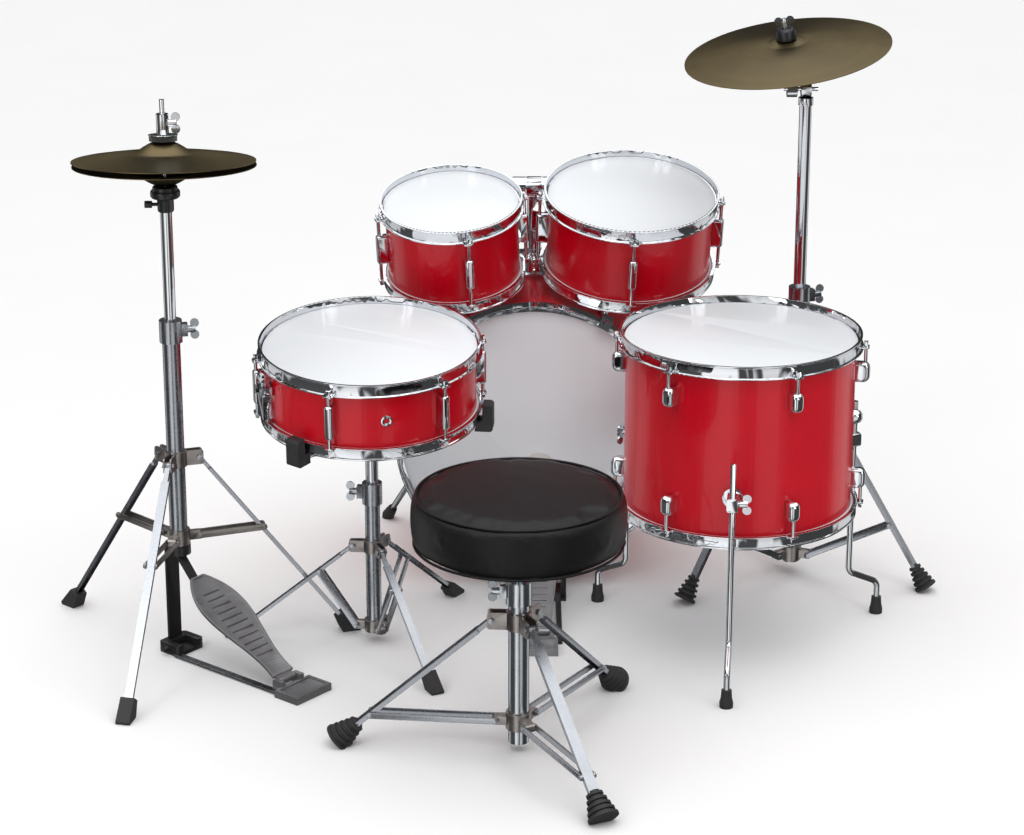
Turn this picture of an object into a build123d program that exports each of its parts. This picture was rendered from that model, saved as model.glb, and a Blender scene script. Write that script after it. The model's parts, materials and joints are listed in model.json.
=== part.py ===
from build123d import *
import os
from math import cos, hypot, radians, sin

# ---------------------------------------------------------------------------
# Junior five-piece drum kit, millimetres, +Z up.  The origin is on the floor
# under the middle of the kit; the player sits at -Y and faces +Y.
# ---------------------------------------------------------------------------
GAP = 0.4  # clearance between parts that move past each other

# drums: shell radius, hoop flange radius, height from rim to rim
FLOOR_TOM = dict(shell=163.5, hoop=174, height=268)
SNARE = dict(shell=151, hoop=160.5, height=115)
TOM_LEFT = dict(shell=99, hoop=108.8, height=138)
TOM_RIGHT = dict(shell=124.2, hoop=134, height=138)
WALL = 5.5  # thickness of the drum shells
RIM_RISE = 10  # the hoop stands this far above the drum head
HOOP_SHEET = 1.6  # sheet thickness of the pressed hoops
FILM = 0.8  # thickness of the drum heads
EAR_R = 3  # the tension rods stand this far outside the hoop flange
ROD_R = 2.6  # tension rods
LUG_ROUND = 0.36  # rounding of a lug's face, as a share of its width

# places of the units (x, y) and of the drum rims
FLOOR_TOM_AT = (335, 44, 475)
SNARE_AT = (-192, 40, 462)
SNARE_TILT = 6.2  # degrees towards the player
TOM_LEFT_AT = (-81, 297, 601)
TOM_LEFT_LEAN = (-1.9, 14)  # degrees to the right, degrees towards the player
TOM_RIGHT_AT = (190, 348, 600)
TOM_RIGHT_LEAN = (1.7, 13.5)
HIHAT_AT = (-469, 2)
THRONE_AT = (19, -333)
CRASH_AT = (443, 308)
KICK_X = 50

# bass drum, lying along Y
BASS_X = 43
BASS_Z = 237
BASS_FRONT = 257  # y of the batter head's edge
BASS_LENGTH = 300
BASS_SHELL = 203
BASS_HOOP = 210
BASS_HOOP_DEPTH = 26
SPUR_PIVOT = (-142, 448, 112)
SPUR_FOOT = (-194, 540, 0)
SPUR_R = 4.75
SPUR_PIN_R = 3

# tom holder
POST_Y = 450
POST_X = 44
POST_R = 11
KNUCKLE_Z = 578

# stands: tube radii and the heights where the tubes end
THRONE_TUBE = dict(r=14, bottom=13, top=240)
THRONE_POST = dict(r=12.4, bottom=62, top=289)
SEAT = dict(r=143, bottom=296, top=374)
HIHAT_TUBE = dict(r=12.7, bottom=154, top=497)
HIHAT_UPPER = dict(r=8.3, bottom=330, top=661)
HIHAT_ROD_R = 3.5
HIHAT_ROD_TOP = 818
PEDAL_AZ = -39.9  # direction of the hi-hat pedal's heel
CRASH_TUBE = dict(r=12.7, bottom=18, top=455)
CRASH_UPPER = dict(r=9.2, bottom=240, top=742)
SNARE_TUBE = dict(r=11, bottom=16, top=240)
SNARE_POST = dict(r=9.2, bottom=100, top=288)
CYMBAL_SHEET = 1.2
CRASH_CENTRE = (414, 305, 819)  # middle of the crash cymbal's edge circle
CRASH_AXIS = (-0.149, -0.106, 0.983)
CRASH_R = 152.5
CRASH_STEM = 57  # from the tilter's hinge to the edge circle, along the axis
HIHAT_R = 127
HIHAT_TOP = dict(z=733, lean=6.5)
HIHAT_BOTTOM = dict(z=724, lean=5.5)

nodes = {}


def add(node, *solids):
    """Put solids in a named sub-part."""
    nodes.setdefault(node, []).extend(solids)


def cyl(a, b, radius):
    """Round bar from point a to point b."""
    a, b = Vector(*a), Vector(*b)
    return Plane(origin=(a + b) / 2, z_dir=b - a) * Cylinder(radius, (b - a).length)


def pipe(radius, bore, low, high):
    """Upright tube on the Z axis."""
    return Pos(0, 0, (low + high) / 2) * (Cylinder(radius, high - low) - Cylinder(bore, high - low + 1))


def turned(*outline):
    """Solid of revolution about Z from an outline of (radius, height) points."""
    return revolve(Plane.XZ * make_face(Polyline(*outline, close=True)), Axis.Z)


def block(x, y, z):
    """Box between pairs of limits."""
    size = [high - low for low, high in (x, y, z)]
    middle = [(high + low) / 2 for low, high in (x, y, z)]
    return Pos(*middle) * Box(*size)


def slab(points, low, high):
    """Plate standing in the XZ plane, from y = low to y = high."""
    return Pos(0, high, 0) * extrude(Plane.XZ * make_face(Polyline(*points, close=True)), high - low)


def bar(a, b, width, thick):
    """Flat bar between two (x, z) points of the XZ plane; its width is along Y."""
    (ax, az), (bx, bz) = a, b
    middle = Vector((ax + bx) / 2, 0, (az + bz) / 2)
    along = Vector(bx - ax, 0, bz - az)
    return Plane(origin=middle, x_dir=(0, 1, 0), z_dir=along) * Box(width, thick, along.length)


def beside(a, b, distance, shift=0.0):
    """Point on the line from a to b at a distance from a, shifted to its left."""
    length = hypot(b[0] - a[0], b[1] - a[1])
    ux, uz = (b[0] - a[0]) / length, (b[1] - a[1]) / length
    return (a[0] + ux * distance - uz * shift, a[1] + uz * distance + ux * shift)


def around(azimuths, solid):
    """Copies of a solid turned about Z, one for each azimuth."""
    return [Rot(0, 0, azimuth) * solid for azimuth in azimuths]


def spread(start, count):
    """Azimuths of equally spaced pieces."""
    return [start + 360 * i / count for i in range(count)]


def wing_screw(reach, radius=3):
    """Wing screw along +X: a threaded shank, a boss and two rounded wings."""
    shank = cyl((0, 0, 0), (reach, 0, 0), radius)
    boss = cyl((reach - 3, 0, 0), (reach + 8, 0, 0), 5)
    wing = Pos(reach + 7, 0, 8.5) * Rot(90, 0, 0) * Cylinder(6.2, 2.6)
    bridge = block((reach + 2, reach + 8), (-1.3, 1.3), (-9, 9))
    return shank + boss + wing + mirror(wing, Plane.XY) + bridge


# ---------------------------------------------------------------------------
# Drums.  Each is made with its axis on Z and its top rim at z = 0.
# ---------------------------------------------------------------------------
def hoop(shell, outer, ears, ear_width=15):
    """Triple-flanged counter hoop: rolled top lip, wall, ledge, lower flange, ears."""
    wall = outer - 5.5
    ledge = -RIM_RISE - 1.2
    flange = -RIM_RISE - 7
    ring = turned(
        (wall, 0), (wall + 3.6, 0), (wall + 3.6, -2.2), (wall + HOOP_SHEET, -3), (wall + HOOP_SHEET, flange),
        (outer, flange), (outer, flange - HOOP_SHEET), (wall, flange - HOOP_SHEET), (wall, ledge - HOOP_SHEET),
        (shell + 1.8, ledge - HOOP_SHEET), (shell + 1.8, ledge), (wall, ledge),
    )
    rod_at = outer + EAR_R
    ear = block((wall + 0.8, rod_at + 5), (-ear_width / 2, ear_width / 2), (flange - HOOP_SHEET, flange + 0.8))
    ear = fillet(ear.edges().filter_by(Axis.Z).group_by(Axis.X)[-1], 4)
    for azimuth in ears:
        ring += Rot(0, 0, azimuth) * ear
        ring -= Rot(0, 0, azimuth) * Pos(rod_at, 0, flange) * Cylinder(ROD_R + 0.3, 8)
    return ring


def head(shell, drop=RIM_RISE):
    """Drum head: film, collar over the shell's edge and flesh hoop."""
    return turned(
        (0, -drop), (shell + 1.4, -drop), (shell + 1.4, -drop - 3.4), (shell + 3.6, -drop - 3.4),
        (shell + 3.6, -drop - 7), (shell + 0.4, -drop - 7), (shell + 0.4, -drop - FILM), (0, -drop - FILM),
    )


def shell_of(shell, height):
    """Plywood shell between the two heads."""
    edge = RIM_RISE + FILM + 0.1
    return pipe(shell, shell - WALL, -height + edge, -edge)


def tension_rod(rod_at, low, high):
    """Square-headed tension rod with its washer, hanging from the hoop's ear."""
    washer = Pos(rod_at, 0, high + 0.7) * Cylinder(5, 1.2)
    top = Pos(rod_at, 0, high + 4.3) * Box(5.6, 5.6, 6)
    shaft = cyl((rod_at, 0, low), (rod_at, 0, high + 2), ROD_R)
    return shaft + washer + top


def lug_box(shell, low, high, width, reach, round_r):
    """Lug casing on the shell wall, rounded at its outer edges."""
    body = block((shell - 4, shell + reach), (-width / 2, width / 2), (low, high))
    outer = body.edges().filter_by(Axis.Y).group_by(Axis.X)[-1]
    body = fillet(outer, round_r)
    sides = body.edges().group_by(Axis.X)[-1]
    body = fillet(sides, width * LUG_ROUND)
    return body - Pos(0, 0, (low + high) / 2) * Cylinder(shell + 0.1, high - low + 2)


def flip(height, solid):
    """Mirror a piece from the top rim to the bottom rim."""
    return Pos(0, 0, -height) * mirror(solid, Plane.XY)


def drum(name, place, size, azimuths, casings):
    """Add one drum's shell, hoops, heads and lugs; casings makes the lug at azimuth 0."""
    shell, outer, height = size["shell"], size["hoop"], size["height"]
    rim = hoop(shell, outer, azimuths)
    skin = head(shell)
    add(name + "_shell", place * shell_of(shell, height))
    add(name + "_hoops", place * rim, place * flip(height, rim))
    add(name + "_heads", place * skin, place * flip(height, skin))
    for piece in casings(shell, outer + EAR_R, height):
        add(name + "_lugs", *[place * copy for copy in around(azimuths, piece)])


def split_lugs(shell, rod_at, height):
    """A short lug with its rod near each rim, as on the floor tom."""
    flange = -RIM_RISE - 7 + 0.8
    reach = rod_at - shell + 7
    casing = lug_box(shell, -69, -39, 17, reach, 10)
    casing -= cyl((rod_at, 0, -30), (rod_at, 0, -45), ROD_R + 0.2)
    rod = tension_rod(rod_at, -44.6, flange)
    return [casing, rod, flip(height, casing), flip(height, rod)]


def centre_lugs(shell, rod_at, height):
    """One long lug in the middle with a rod to each rim, as on the snare and the toms."""
    flange = -RIM_RISE - 7 + 0.8
    half = 26 if height < 120 else 24
    middle = -height / 2
    casing = lug_box(shell, middle - half, middle + half, 12.5, rod_at - shell + 5, 4.5)
    casing -= cyl((rod_at, 0, middle - half - 1), (rod_at, 0, middle + half + 1), ROD_R + 0.2)
    rod = tension_rod(rod_at, middle + 2, flange)
    return [casing, rod, flip(height, rod)]


def leaning(at, lean):
    """Frame at a rim's centre, leaning to the right (+X) and towards the player (-Y)."""
    right, near = (radians(a) for a in lean)
    axis = Vector(sin(right), -sin(near) * cos(right), cos(near) * cos(right))
    side = Vector(1, 0, 0)
    flat = side - axis * side.dot(axis)
    return Plane(origin=at, x_dir=flat, z_dir=axis)


snare_frame = leaning(SNARE_AT, (0, SNARE_TILT))
left_frame = leaning(TOM_LEFT_AT, TOM_LEFT_LEAN)
right_frame = leaning(TOM_RIGHT_AT, TOM_RIGHT_LEAN)
floor_frame = Plane(origin=FLOOR_TOM_AT)

drum("floor_tom", floor_frame, FLOOR_TOM, spread(-68, 6), split_lugs)
drum("snare", snare_frame, SNARE, spread(-108, 6), centre_lugs)
drum("tom_left", left_frame, TOM_LEFT, spread(-76, 4), centre_lugs)
drum("tom_right", right_frame, TOM_RIGHT, spread(-90, 4), centre_lugs)


# ---------------------------------------------------------------------------
# Snare strainer, butt plate, wires
# ---------------------------------------------------------------------------
STRAINER_AZ = -155
SHELL_SEAT = SNARE["shell"] + 0.2
LEVER_PIVOT = (SHELL_SEAT + 12, -47)  # radius and height in the snare's frame
LEVER_PIN_R = 2
WIRES = 10
WIRE_PITCH = 5.4


def snare_strainer():
    """Throw-off block and screws on one side of the snare, the butt plate on the other."""
    height = SNARE["height"]
    outside = Cylinder(SNARE["shell"] + 0.1, 300)
    block_body = block((SHELL_SEAT - 4, SHELL_SEAT + 17), (-12, 12), (-88, -53)) - outside
    body = block_body
    for side in (-1, 1):
        body += block((SHELL_SEAT + 2, SHELL_SEAT + 20), (side * 9 - 1.5, side * 9 + 1.5), (-54, -41))
        body += cyl((SHELL_SEAT + 9, side * 6, -94), (SHELL_SEAT + 9, side * 6, -87), 2.2)
    body -= cyl((LEVER_PIVOT[0], -14, LEVER_PIVOT[1]), (LEVER_PIVOT[0], 14, LEVER_PIVOT[1]), LEVER_PIN_R + GAP)
    butt = block((SHELL_SEAT - 4, SHELL_SEAT + 14), (-11, 11), (-82, -58)) - outside
    add("snare_strainer", snare_frame * (Rot(0, 0, STRAINER_AZ) * body))
    add("snare_strainer", snare_frame * (Rot(0, 0, STRAINER_AZ + 180) * butt))
    wires_z = -height + RIM_RISE - 1.4
    set_of_wires = block((-141, -127), (-30, 30), (wires_z - 0.9, wires_z + 0.9))
    set_of_wires += block((127, 141), (-30, 30), (wires_z - 0.9, wires_z + 0.9))
    for i in range(WIRES):
        y = WIRE_PITCH * (i - (WIRES - 1) / 2)
        set_of_wires += cyl((-128, y, wires_z), (128, y, wires_z), 0.8)
    add("snare_wires", snare_frame * (Rot(0, 0, STRAINER_AZ) * set_of_wires))


def snare_lever():
    """Throw-off lever between the strainer's cheeks, with its pin and its knob."""
    x, z = LEVER_PIVOT
    pin = cyl((x, -12, z), (x, 12, z), LEVER_PIN_R)
    arm = block((x - 4, x + 4), (-6, 6), (z - 4, z + 16))
    knob = Pos(x, 0, z + 19) * Rot(90, 0, 0) * Cylinder(6.5, 12)
    add("snare_lever", snare_frame * (Rot(0, 0, STRAINER_AZ) * (pin + arm + knob)))


snare_strainer()
snare_lever()


# ---------------------------------------------------------------------------
# Bass drum
# ---------------------------------------------------------------------------
bass_frame = Plane(origin=(BASS_X, BASS_FRONT, BASS_Z), x_dir=(1, 0, 0), z_dir=(0, -1, 0))


def bass_drum():
    """Shell, heads, wide hoops, lugs and claws; the frame's +Z faces the player."""
    length = BASS_LENGTH
    post_hole = Pos(POST_X - BASS_X, 0, BASS_FRONT - POST_Y) * Rot(90, 0, 0) * Cylinder(POST_R + 3, 600)
    top_only = block((-30, 30), (100, 300), (-length, 0))
    wall = pipe(BASS_SHELL, BASS_SHELL - 6, -length, -FILM - 0.1) - (post_hole & top_only)
    add("bass_shell", bass_frame * wall)
    skin = head(BASS_SHELL, 0)
    ring = turned(
        (BASS_HOOP - 2.6, 10), (BASS_HOOP, 10), (BASS_HOOP, 10 - BASS_HOOP_DEPTH),
        (BASS_HOOP - 2.6, 10 - BASS_HOOP_DEPTH), (BASS_HOOP - 2.6, -3.2), (BASS_SHELL + 1.8, -3.2),
        (BASS_SHELL + 1.8, 0.4), (BASS_SHELL - 3, 0.4), (BASS_SHELL - 3, 2.2), (BASS_HOOP - 2.6, 2.2),
    )
    total = length + FILM + 0.1
    add("bass_heads", bass_frame * skin, bass_frame * flip(total, skin))
    add("bass_hoops", bass_frame * ring, bass_frame * flip(total, ring))
    rod_at = BASS_HOOP + 5
    casing = lug_box(BASS_SHELL, -92, -58, 17, 17, 6)
    casing -= cyl((rod_at, 0, -50), (rod_at, 0, -80), 3)
    hook = block((BASS_HOOP - 6, rod_at + 6), (-9, 9), (10.4, 14)) + block(
        (BASS_HOOP + 0.4, rod_at + 6), (-9, 9), (-8, 12)
    )
    claw = hook + block((BASS_HOOP - 6, BASS_HOOP - 3), (-9, 9), (3, 12)) - cyl((rod_at, 0, -20), (rod_at, 0, 30), 3)
    rod = cyl((rod_at, 0, -78), (rod_at, 0, 15), 2.7) + Pos(rod_at, 0, 17) * Box(7, 7, 5.6)
    for piece in (casing, claw, rod):
        for copy in around(spread(0, 6), piece):
            add("bass_lugs", bass_frame * copy, bass_frame * flip(total, copy))


def spur(side):
    """Folding spur: eye, round rod and rubber tip, as (eye and rod, tip) for one side."""
    px, py, pz = SPUR_PIVOT
    fx, fy, _ = SPUR_FOOT
    pivot, foot = Vector(px, py, pz), Vector(fx, fy, 0)
    if side > 0:
        pivot, foot = Vector(2 * BASS_X - px, py, pz), Vector(2 * BASS_X - fx, fy, 0)
    along = (foot - pivot).normalized()
    axis = along.cross(Vector(0, 1, 0)).normalized()
    eye = cyl(pivot - axis * 7, pivot + axis * 7, 9) - cyl(pivot - axis * 9, pivot + axis * 9, SPUR_PIN_R + GAP)
    rod = cyl(pivot + along * 8.5, foot - along * 14, SPUR_R) + eye
    tip_frame = Plane(origin=foot - along * 30, z_dir=along)
    tip = tip_frame * turned((0, 0), (7.5, 0), (8.5, 8), (10, 24), (7, 34), (0, 36))
    floor = block((-900, 900), (-900, 900), (-50, 0))
    tip = tip - floor - cyl(pivot + along * 8.5, foot - along * 14, SPUR_R)
    return pivot, axis, rod, tip


def bass_spurs():
    """Both spurs, and the fork of each on a round plate on the shell."""
    centre = Vector(BASS_X, SPUR_PIVOT[1], BASS_Z)
    for side, name in ((-1, "left"), (1, "right")):
        pivot, axis, rod, tip = spur(side)
        add("bass_spur_" + name, rod, tip)
        out = (pivot - centre).normalized()
        wall = centre + out * (BASS_SHELL - 6)
        plate = cyl(wall, centre + out * (BASS_SHELL + 4), 20)
        body = plate + cyl(pivot - axis * 13, pivot + axis * 13, SPUR_PIN_R)
        for end in (-1, 1):
            cheek = Plane(origin=pivot + axis * end * 9.4, x_dir=out, z_dir=axis)
            body += cheek * (Pos(-8, 0, 0) * Box(30, 17, 4))
        along_y = Plane(origin=centre, z_dir=(0, 1, 0)) * Cylinder(BASS_SHELL + 0.1, 90)
        add("bass_brackets", body - along_y)


bass_drum()
bass_spurs()


# ---------------------------------------------------------------------------
# Tom holder: receiver on the bass drum, post, two arms with ratchets
# ---------------------------------------------------------------------------
ARM_SIDE = 23  # each ratchet disc's middle is this far from the post's axis
DISC_R = 16


def tom_holder():
    """Receiver clamp with its saddle, the post with its knuckle, the two arms."""
    place = Pos(POST_X, POST_Y, 0)
    top = BASS_Z + BASS_SHELL
    saddle = block((-32, 32), (-26, 26), (top - 12, top + 5))
    saddle -= Pos(BASS_X - POST_X, 0, BASS_Z) * Rot(90, 0, 0) * Cylinder(BASS_SHELL + 0.1, 80)
    collar = pipe(17, POST_R + GAP, top + 2, top + 38)
    jaw = block((-8, 8), (-27, -15), (top + 10, top + 36))
    clamp = saddle + collar + jaw - Pos(0, 0, top) * Cylinder(POST_R + GAP, 100)
    screw = Pos(0, -26, top + 23) * Rot(0, 0, -90) * wing_screw(5)
    add("bass_brackets", place * (clamp + screw))
    tube = pipe(POST_R, POST_R - 2, 320, KNUCKLE_Z - 12)
    knuckle = block((-11, 11), (-13, 13), (KNUCKLE_Z - 14, KNUCKLE_Z + 15))
    knuckle = fillet(knuckle.edges().filter_by(Axis.X), 6)
    teeth = Pos(0, 0, KNUCKLE_Z) * Rot(0, 90, 0) * Cylinder(DISC_R, 24)
    axle = Pos(0, 0, KNUCKLE_Z) * Rot(0, 90, 0) * Cylinder(4, 70)
    add("tom_post", place * (tube + knuckle + teeth + axle))


def tom_arm(name, side, frame, size, azimuth):
    """Ratchet disc, arm rod and the clamp block on the tom's shell."""
    x = POST_X + side * ARM_SIDE
    disc = Pos(x, POST_Y, KNUCKLE_Z) * Rot(0, 90, 0) * (Cylinder(DISC_R, 20) - Cylinder(4 + GAP, 24))
    shell, middle = size["shell"], -size["height"] / 2
    turn = radians(azimuth)
    seat = frame.from_local_coords(Vector((shell + 18) * cos(turn), (shell + 18) * sin(turn), middle))
    hub = Vector(x, POST_Y, KNUCKLE_Z)
    lean = (seat - hub).normalized()
    rod = cyl(hub + lean * 8, seat, 6.3) - Pos(x, POST_Y, KNUCKLE_Z) * Rot(0, 90, 0) * Cylinder(4 + GAP, 20)
    add(name + "_arm", disc + rod)
    housing = block((shell - 4, shell + 26), (-16, 16), (middle - 20, middle + 20))
    housing = fillet(housing.edges().filter_by(Axis.X), 7)
    housing = fillet(housing.edges().group_by(Axis.X)[-1], 4)
    housing -= Pos(0, 0, middle) * Cylinder(shell + 0.1, 60)
    plate = block((shell - 6, shell + 4), (-21, 21), (middle - 28, middle + 28))
    plate -= Pos(0, 0, middle) * Cylinder(shell + 0.1, 80)
    clamp = frame * (Rot(0, 0, azimuth) * (housing + plate)) - cyl(hub, seat, 6.5)
    add(name + "_lugs", clamp)


tom_holder()
tom_arm("tom_left", -1, left_frame, TOM_LEFT, 53)
tom_arm("tom_right", 1, right_frame, TOM_RIGHT, 166)


# ---------------------------------------------------------------------------
# Floor tom legs and their brackets
# ---------------------------------------------------------------------------
LEG_R = 4.5
LEG_OUT = 192  # the straight part of the leg stands this far from the drum's axis
LEG_FOOT = 242
LEG_TOP = 342
LEG_BRACKET = 283
LEG_AZIMUTHS = spread(-96.3, 3)


def floor_tom_leg():
    """Bent rod with its bell-shaped rubber tip, at azimuth 0 and on the floor."""
    path = FilletPolyline(
        (LEG_OUT, 0, LEG_TOP), (LEG_OUT, 0, 74), (LEG_FOOT, 0, 50), (LEG_FOOT, 0, 9), radius=14
    )
    rod = sweep(Plane(origin=(LEG_OUT, 0, LEG_TOP), z_dir=(0, 0, -1)) * Circle(LEG_R), path=path)
    tip = Pos(LEG_FOOT, 0, 0) * turned((0, 0), (9.5, 0), (9.8, 7), (8, 14), (7.2, 26), (0, 26))
    return rod, tip - Pos(LEG_FOOT, 0, 19) * Cylinder(LEG_R, 20)


def floor_tom_bracket():
    """Round base on the shell, clamp block with the leg's bore, wing screw."""
    shell = FLOOR_TOM["shell"]
    base = cyl((shell - 4, 0, LEG_BRACKET), (shell + 6, 0, LEG_BRACKET), 15)
    neck = block((shell + 4, LEG_OUT + 8), (-8, 8), (LEG_BRACKET - 10, LEG_BRACKET + 10))
    neck = fillet(neck.edges().filter_by(Axis.X), 4)
    body = base + neck - Pos(LEG_OUT, 0, LEG_BRACKET) * Cylinder(LEG_R + GAP, 60)
    body -= Pos(0, 0, LEG_BRACKET) * Cylinder(shell + 0.1, 60)
    screw = Pos(LEG_OUT - 1, 8, LEG_BRACKET) * Rot(0, 0, 90) * wing_screw(5)
    return body + screw - Pos(LEG_OUT, 0, LEG_BRACKET) * Cylinder(LEG_R + GAP, 60)


def floor_tom_legs():
    """Three sliding legs, each in its own sub-part, and their brackets."""
    x, y, _ = FLOOR_TOM_AT
    rod, tip = floor_tom_leg()
    for azimuth, name in zip(LEG_AZIMUTHS, ("front", "right", "left")):
        turn = Pos(x, y, 0) * Rot(0, 0, azimuth)
        add("floor_tom_leg_" + name, turn * rod, turn * tip)
        add("floor_tom_lugs", turn * floor_tom_bracket())


floor_tom_legs()


# ---------------------------------------------------------------------------
# Tripods.  One leg is made in the XZ plane, with x as the distance from the
# stand's axis, and turned to each azimuth.
# ---------------------------------------------------------------------------
PIN_R = 2.5  # pivot pins of the legs and braces
EAR_T = 2.2  # sheet of the brackets' ears
STRAP_T = 2  # sheet and width of the braces
STRAP_W = 9
RIBS = 5  # rings of a ribbed foot, their depth, and its first ring's share of the radius
RIB_DEPTH = 4
RIB_TAPER = 0.55
SHEET_OF_LEG = 1.6  # sheet thickness of the legs' channel


def ribbed_foot(start, end, radius):
    """Rubber foot with rings, its axis along the leg, flat where it meets the floor."""
    length = hypot(end[0] - start[0], end[1] - start[1])
    pitch = length / RIBS
    outline = [(0, 0)]
    for i in range(RIBS):
        wide = radius * (RIB_TAPER + (1 - RIB_TAPER) * i / (RIBS - 1))
        low = pitch * i
        core = wide - RIB_DEPTH
        outline += [(core, low), (core, low + pitch * 0.3), (wide, low + pitch * 0.42)]
        outline += [(wide, low + pitch * 0.86), (core, low + pitch)]
    outline.append((0, length))
    place = Plane(origin=(start[0], 0, start[1]), z_dir=(end[0] - start[0], 0, end[1] - start[1]))
    return place * turned(*outline) - block((0, 900), (-90, 90), (-90, 0))


def wedge_foot(start, end, radius):
    """Plain wedge-shaped rubber foot."""
    left = beside(start, end, 0, radius * 0.55)
    right = beside(start, end, 0, -radius * 0.55)
    toe = end[0]
    outline = [right, (toe - radius, 3), (toe - radius + 2, 0), (toe + radius, 0), (toe + radius + 2, 4), left]
    foot = slab(outline, -radius * 0.72, radius * 0.72)
    return fillet(foot.edges().filter_by(Axis.Y), 1.5)


def tripod(size):
    """One leg, its foot, one brace and both brackets of a tripod, at azimuth 0.

    size: upper, lower, knee, toe as (radius, height) points; leg width; bar thickness;
    tube radius; foot maker, foot length and radius.
    """
    upper, lower, knee, toe = (size[key] for key in ("upper", "lower", "knee", "toe"))
    width, thick = size["width"], size["thick"]
    length = hypot(toe[0] - upper[0], toe[1] - upper[1])
    foot_start = beside(upper, toe, length - size["foot_length"])
    tongue = width - 5
    leg = bar(beside(upper, toe, 24), beside(upper, toe, length - 8), width, thick)
    inside = width - 2 * SHEET_OF_LEG
    leg -= bar(beside(upper, toe, 30, -SHEET_OF_LEG), beside(upper, toe, length, -SHEET_OF_LEG), inside, thick)
    leg += bar(upper, beside(upper, toe, 26), tongue, thick)
    leg += Pos(upper[0], 0, upper[1]) * Rot(90, 0, 0) * Cylinder(thick / 2 + 2.2, tongue)
    half = tongue / 2 + EAR_T + 2 * GAP
    leg += Pos(upper[0], 0, upper[1]) * Rot(90, 0, 0) * Cylinder(PIN_R, 2 * half + 2)
    for y in (-half - 1, half + 1):
        leg += Pos(upper[0], y, upper[1]) * Rot(90, 0, 0) * Cylinder(4, 2)
    foot = size["foot"](foot_start, toe, size["foot_r"])
    foot -= bar(upper, beside(upper, toe, length - 8), width, thick)
    side = width / 2 + GAP
    block_w = width + 2 * GAP - 1
    brace = Pos(lower[0], 0, lower[1]) * Rot(90, 0, 0) * Cylinder(PIN_R, 2 * side + 2)
    for y in (-side - STRAP_T / 2, side + STRAP_T / 2):
        strap = bar(lower, knee, STRAP_T, STRAP_W)
        for end in (lower, knee):
            strap += Pos(end[0], 0, end[1]) * Rot(90, 0, 0) * Cylinder(STRAP_W / 2, STRAP_T)
            outward = 1 if y > 0 else -1
            strap += Pos(end[0], outward * 1.6, end[1]) * Rot(90, 0, 0) * Cylinder(3.6, STRAP_T)
        brace += Pos(0, y, 0) * strap
    return leg, foot, brace, block_w, half


def upper_bracket(size, azimuths, half):
    """Band clamp with a pair of ears for each leg."""
    tube, (x, z), high = size["tube"], size["upper"], size["bracket"]
    ring = pipe(tube + 3.2, tube + 0.05, z - high / 2, z + high / 2)
    pair = []
    for sign in (-1, 1):
        low, up = sorted((sign * (half - GAP), sign * (half - GAP - EAR_T)))
        ear = block((tube + 1, x + 6), (low, up), (z - high / 2, z + high / 2))
        ear = fillet(ear.edges().filter_by(Axis.Y).group_by(Axis.X)[-1], 4)
        pair.append(ear)
    ears = pair[0] + pair[1] - Pos(x, 0, z) * Rot(90, 0, 0) * Cylinder(PIN_R + GAP, 60)
    for ear in around(azimuths, ears):
        ring += ear
    return ring - Pos(0, 0, z) * Cylinder(tube + 0.05, high + 2)


def lower_bracket(size, azimuths, block_w, bore):
    """Ring on the tube with a lug for each brace."""
    tube, (x, z), high = size["tube"], size["lower"], size["bracket"]
    ring = pipe(tube + 3.5, tube + bore, z - high / 2, z + high / 2)
    lug = block((tube + 1, x + 5), (-block_w / 2, block_w / 2), (z - 6, z + 6))
    lug = fillet(lug.edges().filter_by(Axis.Y).group_by(Axis.X)[-1], 4)
    lug -= Pos(x, 0, z) * Rot(90, 0, 0) * Cylinder(PIN_R + GAP, 60)
    for copy in around(azimuths, lug):
        ring += copy
    return ring - Pos(0, 0, z) * Cylinder(tube + bore, high + 2)


THRONE_TRIPOD = dict(
    upper=(36, 190), lower=(31, 45), knee=(200, 48), toe=(247, 8), width=15, thick=6.5, tube=THRONE_TUBE["r"],
    foot=ribbed_foot, foot_length=40, foot_r=21, bracket=24, azimuths=spread(-63.9, 3),
)
CRASH_TRIPOD = dict(
    upper=(33, 300), lower=(29, 32), knee=(155, 100), toe=(217, 6), width=13, thick=6, tube=CRASH_TUBE["r"],
    foot=ribbed_foot, foot_length=40, foot_r=17, bracket=22, azimuths=spread(-22.6, 3),
)
HIHAT_TRIPOD = dict(
    upper=(33, 297), lower=(29, 178), knee=(124, 180), toe=(250, 6), width=12, thick=5.5, tube=HIHAT_TUBE["r"],
    foot=wedge_foot, foot_length=26, foot_r=14, bracket=22, azimuths=spread(-102.3, 3),
)
SNARE_TRIPOD = dict(
    upper=(29, 148), lower=(26, 24), knee=(78, 106), toe=(206, 6), width=11, thick=5, tube=SNARE_TUBE["r"],
    foot=wedge_foot, foot_length=24, foot_r=13, bracket=18, azimuths=spread(-63.5, 3),
)


def throne_tripod():
    """Folding tripod: legs on the fixed upper bracket, braces on the sliding collar."""
    leg, foot, brace, block_w, half = tripod(THRONE_TRIPOD)
    azimuths = THRONE_TRIPOD["azimuths"]
    x, y = THRONE_AT
    for azimuth, name in zip(azimuths, ("front", "right", "left")):
        turn = Pos(x, y, 0) * Rot(0, 0, azimuth)
        add("throne_leg_" + name, turn * leg, turn * foot)
        add("throne_brace_" + name, turn * brace)
    add("throne_tube", Pos(x, y, 0) * upper_bracket(THRONE_TRIPOD, azimuths, half))
    add("throne_collar", Pos(x, y, 0) * lower_bracket(THRONE_TRIPOD, azimuths, block_w, GAP))


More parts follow.
